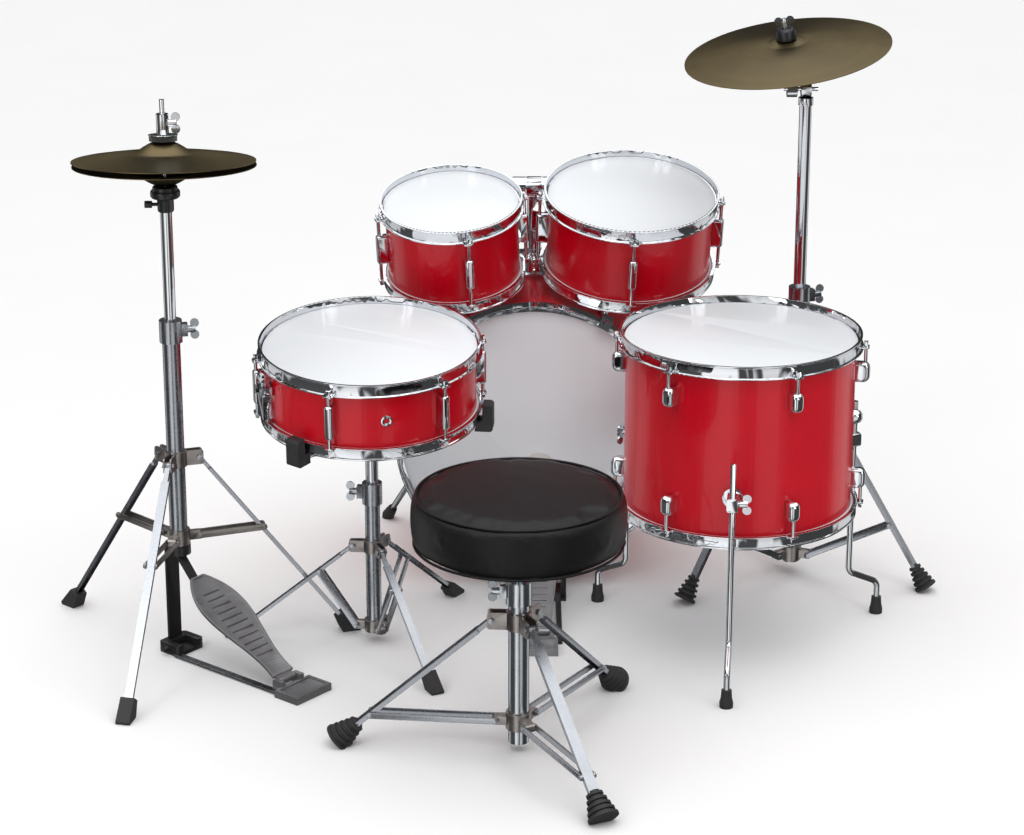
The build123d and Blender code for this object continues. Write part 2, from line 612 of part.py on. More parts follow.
def fixed_tripod(name, size, at):
    """Tripod locked in its open position, with all its pieces in one sub-part."""
    leg, foot, brace, block_w, half = tripod(size)
    place = Pos(at[0], at[1], 0)
    for azimuth in size["azimuths"]:
        for piece in (leg, foot, brace):
            add(name, place * (Rot(0, 0, azimuth) * piece))
    add(name, place * upper_bracket(size, size["azimuths"], half))
    add(name, place * lower_bracket(size, size["azimuths"], block_w, 0.05))


throne_tripod()
fixed_tripod("crash_stand", CRASH_TRIPOD, CRASH_AT)
fixed_tripod("hihat_stand", HIHAT_TRIPOD, HIHAT_AT)
fixed_tripod("snare_stand", SNARE_TRIPOD, SNARE_AT)


def clamp_collar(tube, inner, top, high=26, side=0):
    """Height clamp on top of a tube: collar, jaw and wing screw towards an azimuth."""
    collar = pipe(tube + 3.5, inner, top - high, top + 6)
    jaw = block((tube, tube + 11), (-6, 6), (top - 18, top))
    body = collar + jaw + Pos(tube + 9, 0, top - 9) * wing_screw(5)
    return Rot(0, 0, side) * (body - Pos(0, 0, top) * Cylinder(inner, 90))


def telescope(name, at, lower, upper, side):
    """Lower tube with its clamp on top, and the smaller tube that slides in it."""
    place = Pos(at[0], at[1], 0)
    bore = upper["r"] + GAP
    tube = pipe(lower["r"], lower["r"] - 1.1, lower["bottom"], lower["top"] - 27)
    add(name, place * tube, place * clamp_collar(lower["r"], bore, lower["top"], side=side))
    return place * pipe(upper["r"], upper["r"] - 1.2, upper["bottom"], upper["top"])


# ---------------------------------------------------------------------------
# Throne: post and cushion
# ---------------------------------------------------------------------------
def throne():
    """Base tube, height post with the seat's plate, and the cushion."""
    post = telescope("throne_tube", THRONE_AT, THRONE_TUBE, THRONE_POST, 178)
    place = Pos(*THRONE_AT, 0)
    plate = turned((0, 285), (24, 285), (24, 288), (95, 291), (95, SEAT["bottom"] - GAP), (0, SEAT["bottom"] - GAP))
    add("throne_post", post + place * plate)
    middle = (SEAT["bottom"] + SEAT["top"]) / 2
    cushion = Pos(0, 0, middle) * Cylinder(SEAT["r"], SEAT["top"] - SEAT["bottom"])
    cushion = fillet(cushion.edges(), 12)
    add("throne_cushion", place * cushion)


throne()


# ---------------------------------------------------------------------------
# Snare stand: post with tilter, basket with rubber grips
# ---------------------------------------------------------------------------
BASKET_AZIMUTHS = spread(-126, 3)
BASKET_PIVOT = (SNARE_AT[0], SNARE_AT[1], 300)
BASKET_ARM_R = 4.5


def snare_stand():
    """Tube, height post with the tilter's fork, and the basket that holds the drum."""
    post = telescope("snare_stand", SNARE_AT, SNARE_TUBE, SNARE_POST, 172)
    x, y, pivot_z = BASKET_PIVOT
    place = Pos(x, y, 0)
    cheeks = [block((s - 2, s + 2), (-9, 9), (pivot_z - 14, pivot_z + 9)) for s in (-11, 11)]
    yoke = block((-13, 13), (-9, 9), (pivot_z - 17, pivot_z - 12)) + cheeks[0] + cheeks[1]
    axle = Pos(0, 0, pivot_z) * Rot(0, 90, 0) * Cylinder(3, 30)
    add("snare_stand_post", post + place * (yoke + axle))
    bottom = snare_frame.offset(-SNARE["height"])
    to_local = bottom.to_local_coords(Vector(x, y, pivot_z))
    hub_z = to_local.Z
    hub_y = to_local.Y
    outer = SNARE["hoop"]
    arm_z = hub_z + 19
    hub = Pos(0, hub_y, arm_z) * Cylinder(18, 12)
    tongue = Pos(0, hub_y, hub_z) * Rot(0, 90, 0) * Cylinder(8, 17)
    neck = Pos(0, hub_y, hub_z + 8) * Box(16, 12, 16)
    basket = hub + tongue + neck - Pos(0, hub_y, hub_z) * Rot(0, 90, 0) * Cylinder(3 + GAP, 40)
    hook = block((outer - 12, outer + 6.5), (-6, 6), (-13, -4))
    grip = block((outer - 10, outer + 16), (-11, 11), (-17, 24))
    grip = fillet(grip.edges().filter_by(Axis.Y).group_by(Axis.X)[-1], 5)
    grip -= block((outer - 20, outer + 1), (-20, 20), (-0.3, 40)) + hook
    grips = []
    for azimuth in BASKET_AZIMUTHS:
        a = radians(azimuth)
        start = Vector(12 * cos(a), hub_y + 12 * sin(a), arm_z)
        under = Vector((outer - 4) * cos(a), (outer - 4) * sin(a), -9)
        basket += cyl(start, under, BASKET_ARM_R) + Rot(0, 0, azimuth) * hook
        grips.append(Rot(0, 0, azimuth) * grip - cyl(start, under, BASKET_ARM_R + 0.1))
    add("snare_basket", bottom * basket, *[bottom * piece for piece in grips])


snare_stand()


# ---------------------------------------------------------------------------
# Cymbals
# ---------------------------------------------------------------------------
def cymbal(radius, rise, bell, hole):
    """Thin dished disc with its edge circle at z = 0; bell is (foot radius, height)."""
    foot, top = bell
    upper = [(hole, rise), (foot * 0.42, rise - 0.5), (foot * 0.68, rise - top * 0.5), (foot, rise - top)]
    bow = [(foot + (radius - foot) * t, (rise - top) * (1 - t ** 1.35)) for t in (0.3, 0.6, 0.85)]
    upper += bow + [(radius, 0)]
    lower = [(r, z - CYMBAL_SHEET) for r, z in reversed(upper)]
    return turned(*upper, *lower)


HIHAT_RISE = 27


def hihat_frame(part, up):
    """Frame of a hi-hat cymbal leaning away from the player, with its hole on the rod's axis."""
    lean = radians(part["lean"])
    x, y = HIHAT_AT
    shift = -up * HIHAT_RISE * sin(lean)
    return Plane(origin=(x, y + shift, part["z"]), x_dir=(1, 0, 0), z_dir=(0, sin(lean), cos(lean)))


def hihat():
    """Tube, sliding upper tube with the seat, rod, clutch and the two cymbals."""
    upper = telescope("hihat_stand", HIHAT_AT, HIHAT_TUBE, HIHAT_UPPER, 12)
    place = Pos(*HIHAT_AT, 0)
    add("hihat_upper_tube", upper)
    low = HIHAT_UPPER["top"]
    clear = HIHAT_ROD_R + 1.2
    seat = turned(
        (clear, low + 0.2), (11, low + 0.2), (11, low + 18), (20, low + 20), (20, low + 26), (17, low + 30),
        (clear, low + 30),
    )
    tilt_screw = Pos(-11, 0, low + 9) * Rot(0, 0, 180) * (cyl((0, 0, 0), (9, 0, 0), 2.4) + cyl((8, 0, 0), (18, 0, 0), 5))
    add("hihat_upper_tube", place * (seat + tilt_screw))
    plate = cymbal(HIHAT_R, HIHAT_RISE, (45, 17), 6)
    add("hihat_top_cymbal", hihat_frame(HIHAT_TOP, 1) * plate)
    add("hihat_bottom_cymbal", hihat_frame(HIHAT_BOTTOM, -1) * mirror(plate, Plane.XY))
    rod = cyl((0, 0, 151), (0, 0, HIHAT_ROD_TOP), HIHAT_ROD_R)
    coupling = pipe(6, HIHAT_ROD_R - 0.5, 148, 158)
    strap = slab([(26, 118), (29, 120.5), (4, 150), (4, 152), (-4, 152), (-4, 148), (0, 147)], -7, 7)
    rotate = place * Rot(0, 0, PEDAL_AZ)
    add("hihat_rod", place * (rod + coupling), rotate * strap)
    bore = HIHAT_ROD_R + GAP
    over = HIHAT_TOP["z"] + HIHAT_RISE
    sleeve = pipe(8.5, bore, over + 10.5, over + 38)
    thread = pipe(5.2, bore, over - 16, over + 11)
    nut = pipe(9, 4.9, over - 15.5, over - 10)
    clutch = sleeve + thread + nut + Pos(8, 0, over + 25) * wing_screw(3)
    clutch -= Pos(0, 0, over) * Cylinder(bore, 120)
    add("hihat_clutch", place * clutch)
    washer = pipe(20.5, 6.2, HIHAT_RISE + 7.8, HIHAT_RISE + 9)
    felt = pipe(19.5, 6.2, HIHAT_RISE + 0.2, HIHAT_RISE + 7.6)
    add("hihat_clutch", hihat_frame(HIHAT_TOP, 1) * washer, hihat_frame(HIHAT_TOP, 1) * felt)


hihat()


# ---------------------------------------------------------------------------
# Pedals
# ---------------------------------------------------------------------------
HIHAT_HINGE = (208, 14)  # distance from the rod's axis, height
HIHAT_TOE = (29, 123)
HINGE_PIN = 2.8
GROOVE = 1.8  # depth of the footboards' grooves
RIM = 1.6  # height and width of the footboards' raised rim
RIM_WIDTH = 2.6


def board_outline(length, widths, inset):
    """Face of a footboard's outline, moved in from its edge by inset."""
    heel, belly, toe = (half - inset for half in widths)
    start, end = 8 + inset, length - inset
    side = Spline((start, heel), (length * 0.22, heel * 1.02), (length * 0.5, belly), (end, toe))
    far = Line((end, toe), (end, -toe))
    near = Line((start, -heel), (start, heel))
    return make_face([*side.edges(), *far.edges(), *mirror(side, Plane.XZ).edges(), *near.edges()])


def board(length, widths, slots):
    """Pressed footboard from its hinge at the origin along +X, with its top at z = 3."""
    plate = extrude(board_outline(length, widths, 0), 3 + RIM)
    plate -= Pos(0, 0, 3) * extrude(board_outline(length, widths, RIM_WIDTH), 9)
    pitch = (length * 0.66) / slots
    for i in range(slots):
        x = length * 0.2 + pitch * (i + 0.5)
        half = (widths[1] - 12) * (1 - abs(x / length - 0.5) * 0.9)
        plate -= Pos(x, 0, 3) * Box(pitch * 0.42, 2 * half, 2 * GROOVE)
    barrel = Rot(90, 0, 0) * Cylinder(6, 30)
    link = block((3, 12), (-15, 15), (-1, 3))
    return plate + barrel + link - Rot(90, 0, 0) * Cylinder(HINGE_PIN + GAP, 80)


def heel_plate(length, half):
    """Heel plate behind the hinge at the origin (-X side), with the hinge pin."""
    plate = block((-length - 11, -11), (-half, half), (-14, -3))
    plate -= block((-length - 5, -16), (-half + 5, half - 5), (-5, 0))
    ears = [block((-14, 5), (y - 3, y + 3), (-14, 5)) for y in (-19, 19)]
    ears = [fillet(ear.edges().filter_by(Axis.Y).group_by(Axis.X)[-1].group_by(Axis.Z)[-1], 4) for ear in ears]
    return plate + ears[0] + ears[1] + Rot(90, 0, 0) * Cylinder(HINGE_PIN, 44)


def hihat_pedal():
    """Upright frame plate with yoke and radius bar, heel plate, footboard."""
    place = Pos(*HIHAT_AT, 0) * Rot(0, 0, PEDAL_AZ)
    upright = block((-19, -15), (-12, 12), (8, 164)) + block((-19, -12), (-12, 12), (152, 164))
    sleeve = pipe(16.5, 12.8, 152, 166)
    yoke = block((-24, 16), (-26, 26), (0, 16))
    yoke = fillet(yoke.edges().filter_by(Axis.Z), 5) - block((-10, 20), (-14, 14), (6, 20))
    screw = cyl((-4, -34, 9), (-4, -24, 9), 3.5)
    bar_out = block((10, HIHAT_HINGE[0] + 16), (-30, -19), (2, 5))
    frame = upright + sleeve + yoke + screw - Pos(0, 0, 160) * Cylinder(HIHAT_TUBE["r"] + 0.05, 60)
    frame -= bar_out
    add("hihat_pedal_frame", place * frame, place * bar_out)
    turn = Rot(0, 0, 180)
    heel = Pos(HIHAT_HINGE[0], 0, HIHAT_HINGE[1]) * turn * heel_plate(44, 35)
    add("hihat_pedal_frame", place * (heel - block((0, HIHAT_HINGE[0] + 16.2), (-31, -18.8), (1.8, 5.2))))
    run = Vector(HIHAT_TOE[0] - HIHAT_HINGE[0], 0, HIHAT_TOE[1] - HIHAT_HINGE[1])
    up = Vector(-run.Z, 0, run.X) * -1
    lay = Plane(origin=(HIHAT_HINGE[0], 0, HIHAT_HINGE[1]), x_dir=run, z_dir=up)
    add("hihat_footboard", place * (lay * board(run.length - 4, (20, 34, 12.5), 11)))


KICK_HINGE = (34, 14)  # y and height of the footboard's hinge
KICK_TOE = (226, 88)
AXLE = (200, 125)  # y and height of the beater's axle
CAM_R = 27
BEATER_REST = 26  # degrees that the beater leans back at rest
BEATER_ARM = 112


def kick_pedal():
    """Base with two posts and hoop clamp, footboard, and the beater on its axle."""
    place = Pos(KICK_X, 0, 0) * Rot(0, 0, 90)
    y, z = AXLE
    frame = block((y - 16, y + 46), (-42, 42), (0, 5))
    for side in (-38, 38):
        post = block((y - 9, y + 9), (side - 4, side + 4), (4, z + 10))
        frame += fillet(post.edges().filter_by(Axis.X).group_by(Axis.Z)[-1], 3)
        frame += Pos(y, side, z) * Rot(90, 0, 0) * Cylinder(11, 11)
    frame -= Pos(y, 0, z) * Rot(90, 0, 0) * Cylinder(4 + GAP, 120)
    low_rim = BASS_Z - BASS_HOOP
    frame += block((BASS_FRONT - 22, BASS_FRONT + 14), (-14, 14), (4, low_rim - 3))
    for side in (-30, 30):
        frame += block((20, y - 10), (side - 4, side + 4), (1, 5))
    add("kick_frame", place * frame)
    heel = Pos(KICK_HINGE[0], 0, KICK_HINGE[1]) * heel_plate(46, 27)
    heel -= block((0, 300), (-34.2, -25.8), (0.8, 5.2)) + block((0, 300), (25.8, 34.2), (0.8, 5.2))
    add("kick_frame", place * heel)
    run = Vector(KICK_TOE[0] - KICK_HINGE[0], 0, KICK_TOE[1] - KICK_HINGE[1])
    lay = Plane(origin=(KICK_HINGE[0], 0, KICK_HINGE[1]), x_dir=run, z_dir=Vector(-run.Z, 0, run.X))
    strap = block((y + CAM_R + 0.8, y + CAM_R + 2.8), (-8, 8), (KICK_TOE[1] - 6, z - 4))
    add("kick_footboard", place * (lay * board(run.length, (20, 26, 15), 10)), place * strap)
    axle = Pos(y, 0, z) * Rot(90, 0, 0) * Cylinder(4, 92)
    cam = Pos(y, 0, z) * Rot(90, 0, 0) * Cylinder(CAM_R, 14)
    lean = radians(BEATER_REST)
    tip = (y - BEATER_ARM * sin(lean), 0, z + BEATER_ARM * cos(lean))
    shaft = cyl((y, 0, z), tip, 3)
    beat = Plane(origin=tip, z_dir=(cos(lean), 0, sin(lean)))
    ball = fillet((Cylinder(22, 34)).edges(), 8)
    add("kick_beater", place * (axle + cam + shaft - beat * ball), place * (beat * ball))


hihat_pedal()
kick_pedal()


# ---------------------------------------------------------------------------
# Crash cymbal and its stand
# ---------------------------------------------------------------------------
def crash():
    """Tubes, ratchet tilter with its stem, felts and wing nut, and the cymbal."""
    upper = telescope("crash_stand", CRASH_AT, CRASH_TUBE, CRASH_UPPER, 20)
    x, y = CRASH_AT
    cx, cy, cz = CRASH_CENTRE
    axis = Vector(*CRASH_AXIS).normalized()
    centre = Vector(cx, cy, cz)
    hinge = centre - axis * CRASH_STEM
    top = CRASH_UPPER["top"]
    socket = pipe(11, CRASH_UPPER["r"] - 1.5, top - 2, hinge.Z - 12)
    fixed = Pos(x, hinge.Y, hinge.Z) * Rot(0, 90, 0) * Cylinder(12, 15)
    axle = cyl((x + 18, hinge.Y, hinge.Z), (hinge.X - 12, hinge.Y, hinge.Z), 3)
    add("crash_upper_tube", upper + Pos(x, y, 0) * socket + fixed + axle)
    disc = Pos(hinge.X, hinge.Y, hinge.Z) * Rot(0, 90, 0) * Cylinder(12, 15)
    stem = cyl(hinge, centre + axis * 52, 3)
    rest = cyl(centre - axis * 12, centre - axis * 1, 7)
    bore = cyl((x + 18, hinge.Y, hinge.Z), (hinge.X - 12, hinge.Y, hinge.Z), 3 + GAP)
    add("crash_tilter", disc + stem + rest - bore)
    over = Plane(origin=centre, x_dir=(1, 0, 0.1516), z_dir=axis)
    cup = over * turned((3.4, 20.6), (15, 20.6), (15, 34), (12, 38), (3.4, 38))
    nut = over * (Pos(0, 0, 38.3) * Rot(0, -90, 0) * wing_screw(3, 5)) - stem
    felt = over * turned((3.4, 1), (13, 1), (13, 16), (3.4, 18))
    add("crash_tilter", nut, cup)
    add("crash_tilter", felt - rest)
    add("crash_cymbal", over * cymbal(CRASH_R, 20, (32, 4), 6))


crash()


# ---------------------------------------------------------------------------
# Write one STEP file for each sub-part
# ---------------------------------------------------------------------------
os.makedirs("parts", exist_ok=True)
for node_name, pieces in nodes.items():
    solids = [solid for piece in pieces for solid in piece.solids()]
    export_step(Compound(children=solids), "parts/" + node_name + ".step")
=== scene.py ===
"""Acoustic drum kit: finishes, cushion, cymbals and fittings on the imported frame."""

import json
import math

import bmesh
import bpy
from bpy.props import FloatProperty, FloatVectorProperty, IntProperty, PointerProperty
from mathutils import Matrix, Vector


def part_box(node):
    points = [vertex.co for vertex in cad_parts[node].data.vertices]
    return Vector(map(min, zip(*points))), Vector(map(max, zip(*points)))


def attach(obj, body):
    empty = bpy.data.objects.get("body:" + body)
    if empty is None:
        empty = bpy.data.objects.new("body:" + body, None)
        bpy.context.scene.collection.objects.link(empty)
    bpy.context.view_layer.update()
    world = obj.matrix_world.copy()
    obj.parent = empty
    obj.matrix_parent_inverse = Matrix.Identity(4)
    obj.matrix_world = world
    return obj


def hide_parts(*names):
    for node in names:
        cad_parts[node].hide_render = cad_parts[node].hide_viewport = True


bl_info = {
    "name": "Drum Kit",
    "version": (1, 0, 0),
    "blender": (4, 5, 0),
    "location": "3D View > Sidebar > Drum Kit",
    "description": "Dresses a drum kit's frame: wrap, chrome, cymbals, heads, cushion and stage",
    "category": "Object",
}

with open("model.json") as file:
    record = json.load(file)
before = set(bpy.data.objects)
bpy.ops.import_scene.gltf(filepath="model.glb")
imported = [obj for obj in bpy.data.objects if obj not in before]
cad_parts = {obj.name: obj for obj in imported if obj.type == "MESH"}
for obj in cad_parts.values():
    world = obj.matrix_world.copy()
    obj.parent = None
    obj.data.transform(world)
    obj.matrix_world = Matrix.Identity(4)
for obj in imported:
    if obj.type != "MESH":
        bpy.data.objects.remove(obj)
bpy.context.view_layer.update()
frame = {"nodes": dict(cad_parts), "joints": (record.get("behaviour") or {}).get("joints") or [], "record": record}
SLOT = {part["node"]: part["material_slot"] for part in frame["record"]["subparts"]}
BODY = {node: body for body, nodes in frame["record"]["behaviour"]["bodies"].items() for node in nodes}
PREFIX = "kit_"


# ---------------------------------------------------------------------------
# Settings
# ---------------------------------------------------------------------------
def colour(label, words, value):
    """A colour property with its words and default."""
    return FloatVectorProperty(name=label, description=words, default=value, subtype="COLOR", size=3,
                               min=0, max=1)


def size(label, words, value, low=0.0, high=1.0):
    """A length property in metres."""
    return FloatProperty(name=label, description=words, default=value, min=low, max=high,
                         unit="LENGTH", precision=4)


class FinishSettings(bpy.types.PropertyGroup):
    wrap: colour("Wrap", "Deep colour of the shells' glossy wrap", (0.66, 0.0, 0.008))
    wrap_shade: colour("Wrap shade", "Darker tone inside the wrap", (0.47, 0.0, 0.012))
    chrome: colour("Chrome", "Tone of the chrome plating", (0.76, 0.78, 0.81))
    dull: colour("Bracket steel", "Tone of the pressed brackets", (0.40, 0.37, 0.35))
    strip: colour("Strip steel", "Light tone of the stands' strips", (0.50, 0.52, 0.56))
    satin: colour("Satin steel", "Light tone of the throne's tube", (0.62, 0.65, 0.69))
    film: colour("Head film", "Colour of the drum heads", (0.83, 0.85, 0.88))
    bronze: colour("Bronze", "Dark tone of the cymbals", (0.082, 0.066, 0.033))
    bronze_glow: colour("Bronze glow", "Bright tone between the lathe lines", (0.26, 0.198, 0.098))
    vinyl: colour("Vinyl", "Colour of the seat's cover", (0.0034, 0.0032, 0.0037))
    rubber: colour("Rubber", "Colour of feet and grips", (0.018, 0.018, 0.019))
    paint: colour("Paint", "Colour of the black painted parts", (0.010, 0.010, 0.011))
    felt: colour("Felt", "Light tone of the black felts", (0.05, 0.05, 0.052))
    board: colour("Footboard", "Colour of the pressed footboards", (0.36, 0.36, 0.37))
    beater: colour("Beater", "Light tone of the beater's felt", (0.72, 0.71, 0.68))
    strap: colour("Strap", "Light tone of the woven straps", (0.035, 0.035, 0.036))


class CushionSettings(bpy.types.PropertyGroup):
    """Shape of the seat cushion."""

    piping: size("Piping", "Radius of the piping along the seams", 0.0019, 0.001, 0.006)
    cap: size("Cap", "Furthest that the stuffing may push the cover out", 0.0032, 0, 0.03)
    give: size("Give", "Furthest that the cover may sink in", 0.0005, 0, 0.01)
    pressure: FloatProperty(name="Pressure", description="Stuffing pressure", default=4.0, min=0, max=20)


class CymbalSettings(bpy.types.PropertyGroup):
    """Shape of the cymbals."""

    sheet: size("Sheet", "Thickness of the cymbals", 0.0011, 0.0005, 0.003)
    steps: IntProperty(name="Steps", description="Segments around a cymbal", default=160, min=32, max=256)
    groove: size("Groove", "Depth of the lathe lines", 0.00005, 0, 0.001)


class StageSettings(bpy.types.PropertyGroup):
    """Camera and light."""

    lens: FloatProperty(name="Lens", description="Focal length in millimetres", default=102.4,
                        min=20, max=300, unit="CAMERA")
    eye: FloatVectorProperty(name="Eye", description="Camera position", default=(0.010, -3.90, 1.712), size=3,
                             unit="LENGTH")
    pitch: FloatProperty(name="Pitch", description="Camera's tilt downwards", default=0.334, subtype="ANGLE")
    key: FloatProperty(name="Key light", description="Strength of the large soft light", default=16.0, min=0,
                       unit="POWER")


# ---------------------------------------------------------------------------
# Shader writing
# ---------------------------------------------------------------------------
class Value:
    """A number socket that takes part in Python sums."""

    def __init__(self, tree, socket):
        self.tree = tree
        self.socket = socket

    def _sum(self, operation, first, second=None):
        node = self.tree.nodes.new("ShaderNodeMath")
        node.operation = operation
        for place, item in enumerate((first, second)):
            if isinstance(item, Value):
                self.tree.links.new(item.socket, node.inputs[place])
            elif item is not None:
                node.inputs[place].default_value = item
        return Value(self.tree, node.outputs[0])

    def __add__(self, other):
        return self._sum("ADD", self, other)

    def __mul__(self, other):
        return self._sum("MULTIPLY", self, other)

    def __sub__(self, other):
        return self._sum("SUBTRACT", self, other)

    def __rsub__(self, other):
        return self._sum("SUBTRACT", other, self)

    def __pow__(self, other):
        return self._sum("POWER", self, other)

    __radd__ = __add__
    __rmul__ = __mul__

    def clamp(self, low, high):
        """The value kept between two limits."""
        return self._sum("MINIMUM", self._sum("MAXIMUM", self, low), high)


class Shading:
    """A node tree and the one way that nodes are added to it."""

    def __init__(self, tree):
        self.tree = tree

    def node(self, kind, output=0, settings=None, stops=None, **sockets):
        """Any node by its type, its settings and the values or links of its sockets.

        A socket is given by its name, or as n0, n1 and so on by its place.
        """
        node = self.tree.nodes.new("ShaderNode" + kind)
        for key, value in (settings or {}).items():
            setattr(node, key, value)
        if stops:
            self.fill(node.color_ramp, stops)
        for key, value in sockets.items():
            key = key.replace("_", " ")
            socket = node.inputs[int(key[1:])] if key[0] == "n" and key[1:].isdigit() else node.inputs[key]
            if isinstance(value, Value):
                self.tree.links.new(value.socket, socket)
            else:
                socket.default_value = value
        return Value(self.tree, node.outputs[output])

    def axes(self, vector):
        """The three numbers of a vector."""
        split = self.tree.nodes.new("ShaderNodeSeparateXYZ")
        self.tree.links.new(vector.socket, split.inputs[0])
        return [Value(self.tree, socket) for socket in split.outputs]

    def fill(self, ramp, stops):
        """Set a ramp's stops from (position, grey tone) pairs."""
        while len(ramp.elements) < len(stops):
            ramp.elements.new(0.5)
        for element, (spot, tone) in zip(ramp.elements, stops):
            element.position = spot
            element.color = (tone, tone, tone, 1)


class Finish(Shading):
    """One material: a principled shader and the nodes that feed it."""

    def __init__(self, name, **constants):
        self.material = bpy.data.materials.new(name)
        self.material.use_nodes = True
        super().__init__(self.material.node_tree)
        self.shader = self.tree.nodes["Principled BSDF"]
        self.coordinates = self.tree.nodes.new("ShaderNodeTexCoord")
        for socket, value in constants.items():
            self.shader.inputs[socket.replace("_", " ")].default_value = value

    def place(self, centre=(0, 0, 0), turn=(0, 0, 0)):
        """Object coordinates measured from a centre, turned to a piece's own axes."""
        here = Value(self.tree, self.coordinates.outputs["Object"])
        moved = self.node("VectorMath", settings={"operation": "SUBTRACT"}, n0=here, n1=tuple(centre))
        return self.node("Mapping", settings={"vector_type": "POINT"}, Vector=moved, Rotation=tuple(turn))

    def noise(self, scale, detail=3.0, roughness=0.55, where=None):
        """Noise value from 0 to 1."""
        return self.node("TexNoise", Vector=where or self.place(), Scale=scale, Detail=detail,
                         Roughness=roughness)

    def blend(self, share, first, second):
        """Colour between two colours by a share."""
        pair = [tuple(c) + (1.0,) if not isinstance(c, Value) else c for c in (first, second)]
        return self.node("Mix", 2, {"data_type": "RGBA"}, n0=share, n6=pair[0], n7=pair[1])

    def colour(self, value):
        """Feed the base colour."""
        self.tree.links.new(value.socket, self.shader.inputs["Base Color"])
        return self

    def rough(self, value):
        """Feed the roughness."""
        self.tree.links.new(value.socket, self.shader.inputs["Roughness"])
        return self

    def bump(self, height, depth, strength=1.0):
        """Feed the normal from a height."""
        out = self.node("Bump", Strength=strength, Distance=depth, Height=height)
        self.tree.links.new(out.socket, self.shader.inputs["Normal"])
        return self


def finishes():
    if PREFIX + "wrap" not in bpy.data.materials:
        tones = bpy.context.scene.kit_finish
        for maker in (make_wrap, make_plating, make_strips, make_small_metals, make_film, make_vinyl,
                      make_dark_goods, make_small_goods):
            maker(tones)
    return {key[len(PREFIX):]: made for key, made in bpy.data.materials.items() if key.startswith(PREFIX)}


def scaled(tone, factor):
    """A tone made lighter or darker."""
    return [min(1, channel * factor) for channel in tone]


def make_wrap(tones):
    """Glossy plastic wrap with depth under a clear coat."""
    wrap = Finish("kit_wrap", Coat_Weight=0.3, Coat_Roughness=0.05, Specular_IOR_Level=0.28)
    cloud = wrap.noise(7, 2)
    fine = wrap.noise(260, 2)
    wrap.colour(wrap.blend((cloud * 0.75 + fine * 0.2).clamp(0, 1), tones.wrap_shade, tones.wrap))
    wrap.rough(0.26 + 0.1 * fine)
    wrap.bump(wrap.noise(38, 1), 0.0002, 0.12)


def make_plating(tones):
    """Chrome plating, faintly smudged."""
    chrome = Finish("kit_chrome", Metallic=1.0)
    smudge = chrome.noise(34, 4)
    chrome.colour(chrome.blend(smudge, scaled(tones.chrome, 0.93), tones.chrome))
    chrome.rough(0.03 + 0.08 * (smudge ** 2))
    chrome.bump(chrome.noise(60, 1), 0.0002, 0.025)


def make_strips(tones):
    """Scuffed strip steel and satin tube."""
    strip = Finish("kit_strip", Metallic=1.0)
    scuff = strip.noise(60, 5)
    fine = strip.noise(600, 2)
    strip.colour(strip.blend(scuff, (0.37, 0.39, 0.42), tones.strip))
    strip.rough(0.17 + 0.14 * scuff + 0.06 * fine)
    strip.bump(strip.noise(150, 3), 0.0003, 0.18)
    satin = Finish("kit_satin", Metallic=1.0)
    haze = satin.noise(45, 4)
    satin.colour(satin.blend(haze, (0.50, 0.53, 0.57), tones.satin))
    satin.rough(0.13 + 0.12 * haze)
    satin.bump(satin.noise(300, 2), 0.0002, 0.12)


def make_small_metals(tones):
    """Pressed brackets, snare wires and pressed footboards."""
    dull = Finish("kit_bracket", Metallic=1.0)
    stain = dull.noise(80, 4)
    dull.colour(dull.blend(stain, scaled(tones.dull, 0.62), scaled(tones.dull, 1.25)))
    dull.rough(0.26 + 0.18 * stain)
    dull.bump(dull.noise(420, 3), 0.0004, 0.25)
    wire = Finish("kit_wire", Metallic=1.0, Roughness=0.22)
    twist = wire.noise(900, 1)
    wire.colour(wire.blend(twist, (0.5, 0.5, 0.5), (0.8, 0.8, 0.8)))
    board = Finish("kit_board", Metallic=0.85)
    cast = board.noise(240, 4)
    board.colour(board.blend(board.noise(24, 3), scaled(tones.board, 0.6), scaled(tones.board, 1.15)))
    board.rough(0.34 + 0.16 * cast)
    board.bump(cast, 0.0006, 0.3)


def make_film(tones):
    """Coated film of the heads: faintly cloudy, softly glossy."""
    film = Finish("kit_film", Coat_Weight=0.06, Coat_Roughness=0.06, Specular_IOR_Level=0.3)
    cloud = film.noise(9, 3)
    grit = film.noise(1400, 2)
    film.colour(film.blend(cloud, scaled(tones.film, 0.965), tones.film))
    film.rough(0.30 + 0.10 * cloud + 0.08 * grit)
    film.bump(grit, 0.00008, 0.25)


def make_vinyl(tones):
    """Grained vinyl of the seat."""
    vinyl = Finish("kit_vinyl", Specular_IOR_Level=0.3)
    cells = vinyl.node("TexVoronoi", settings={"feature": "DISTANCE_TO_EDGE"}, Vector=vinyl.place(),
                       Scale=520.0)
    soft = vinyl.noise(30, 3)
    vinyl.colour(vinyl.blend(soft, tones.vinyl, scaled(tones.vinyl, 1.9)))
    vinyl.rough(0.27 + 0.12 * soft)
    vinyl.bump(cells.clamp(0, 0.12) + 0.05 * vinyl.noise(1500, 2), 0.0024, 0.45)


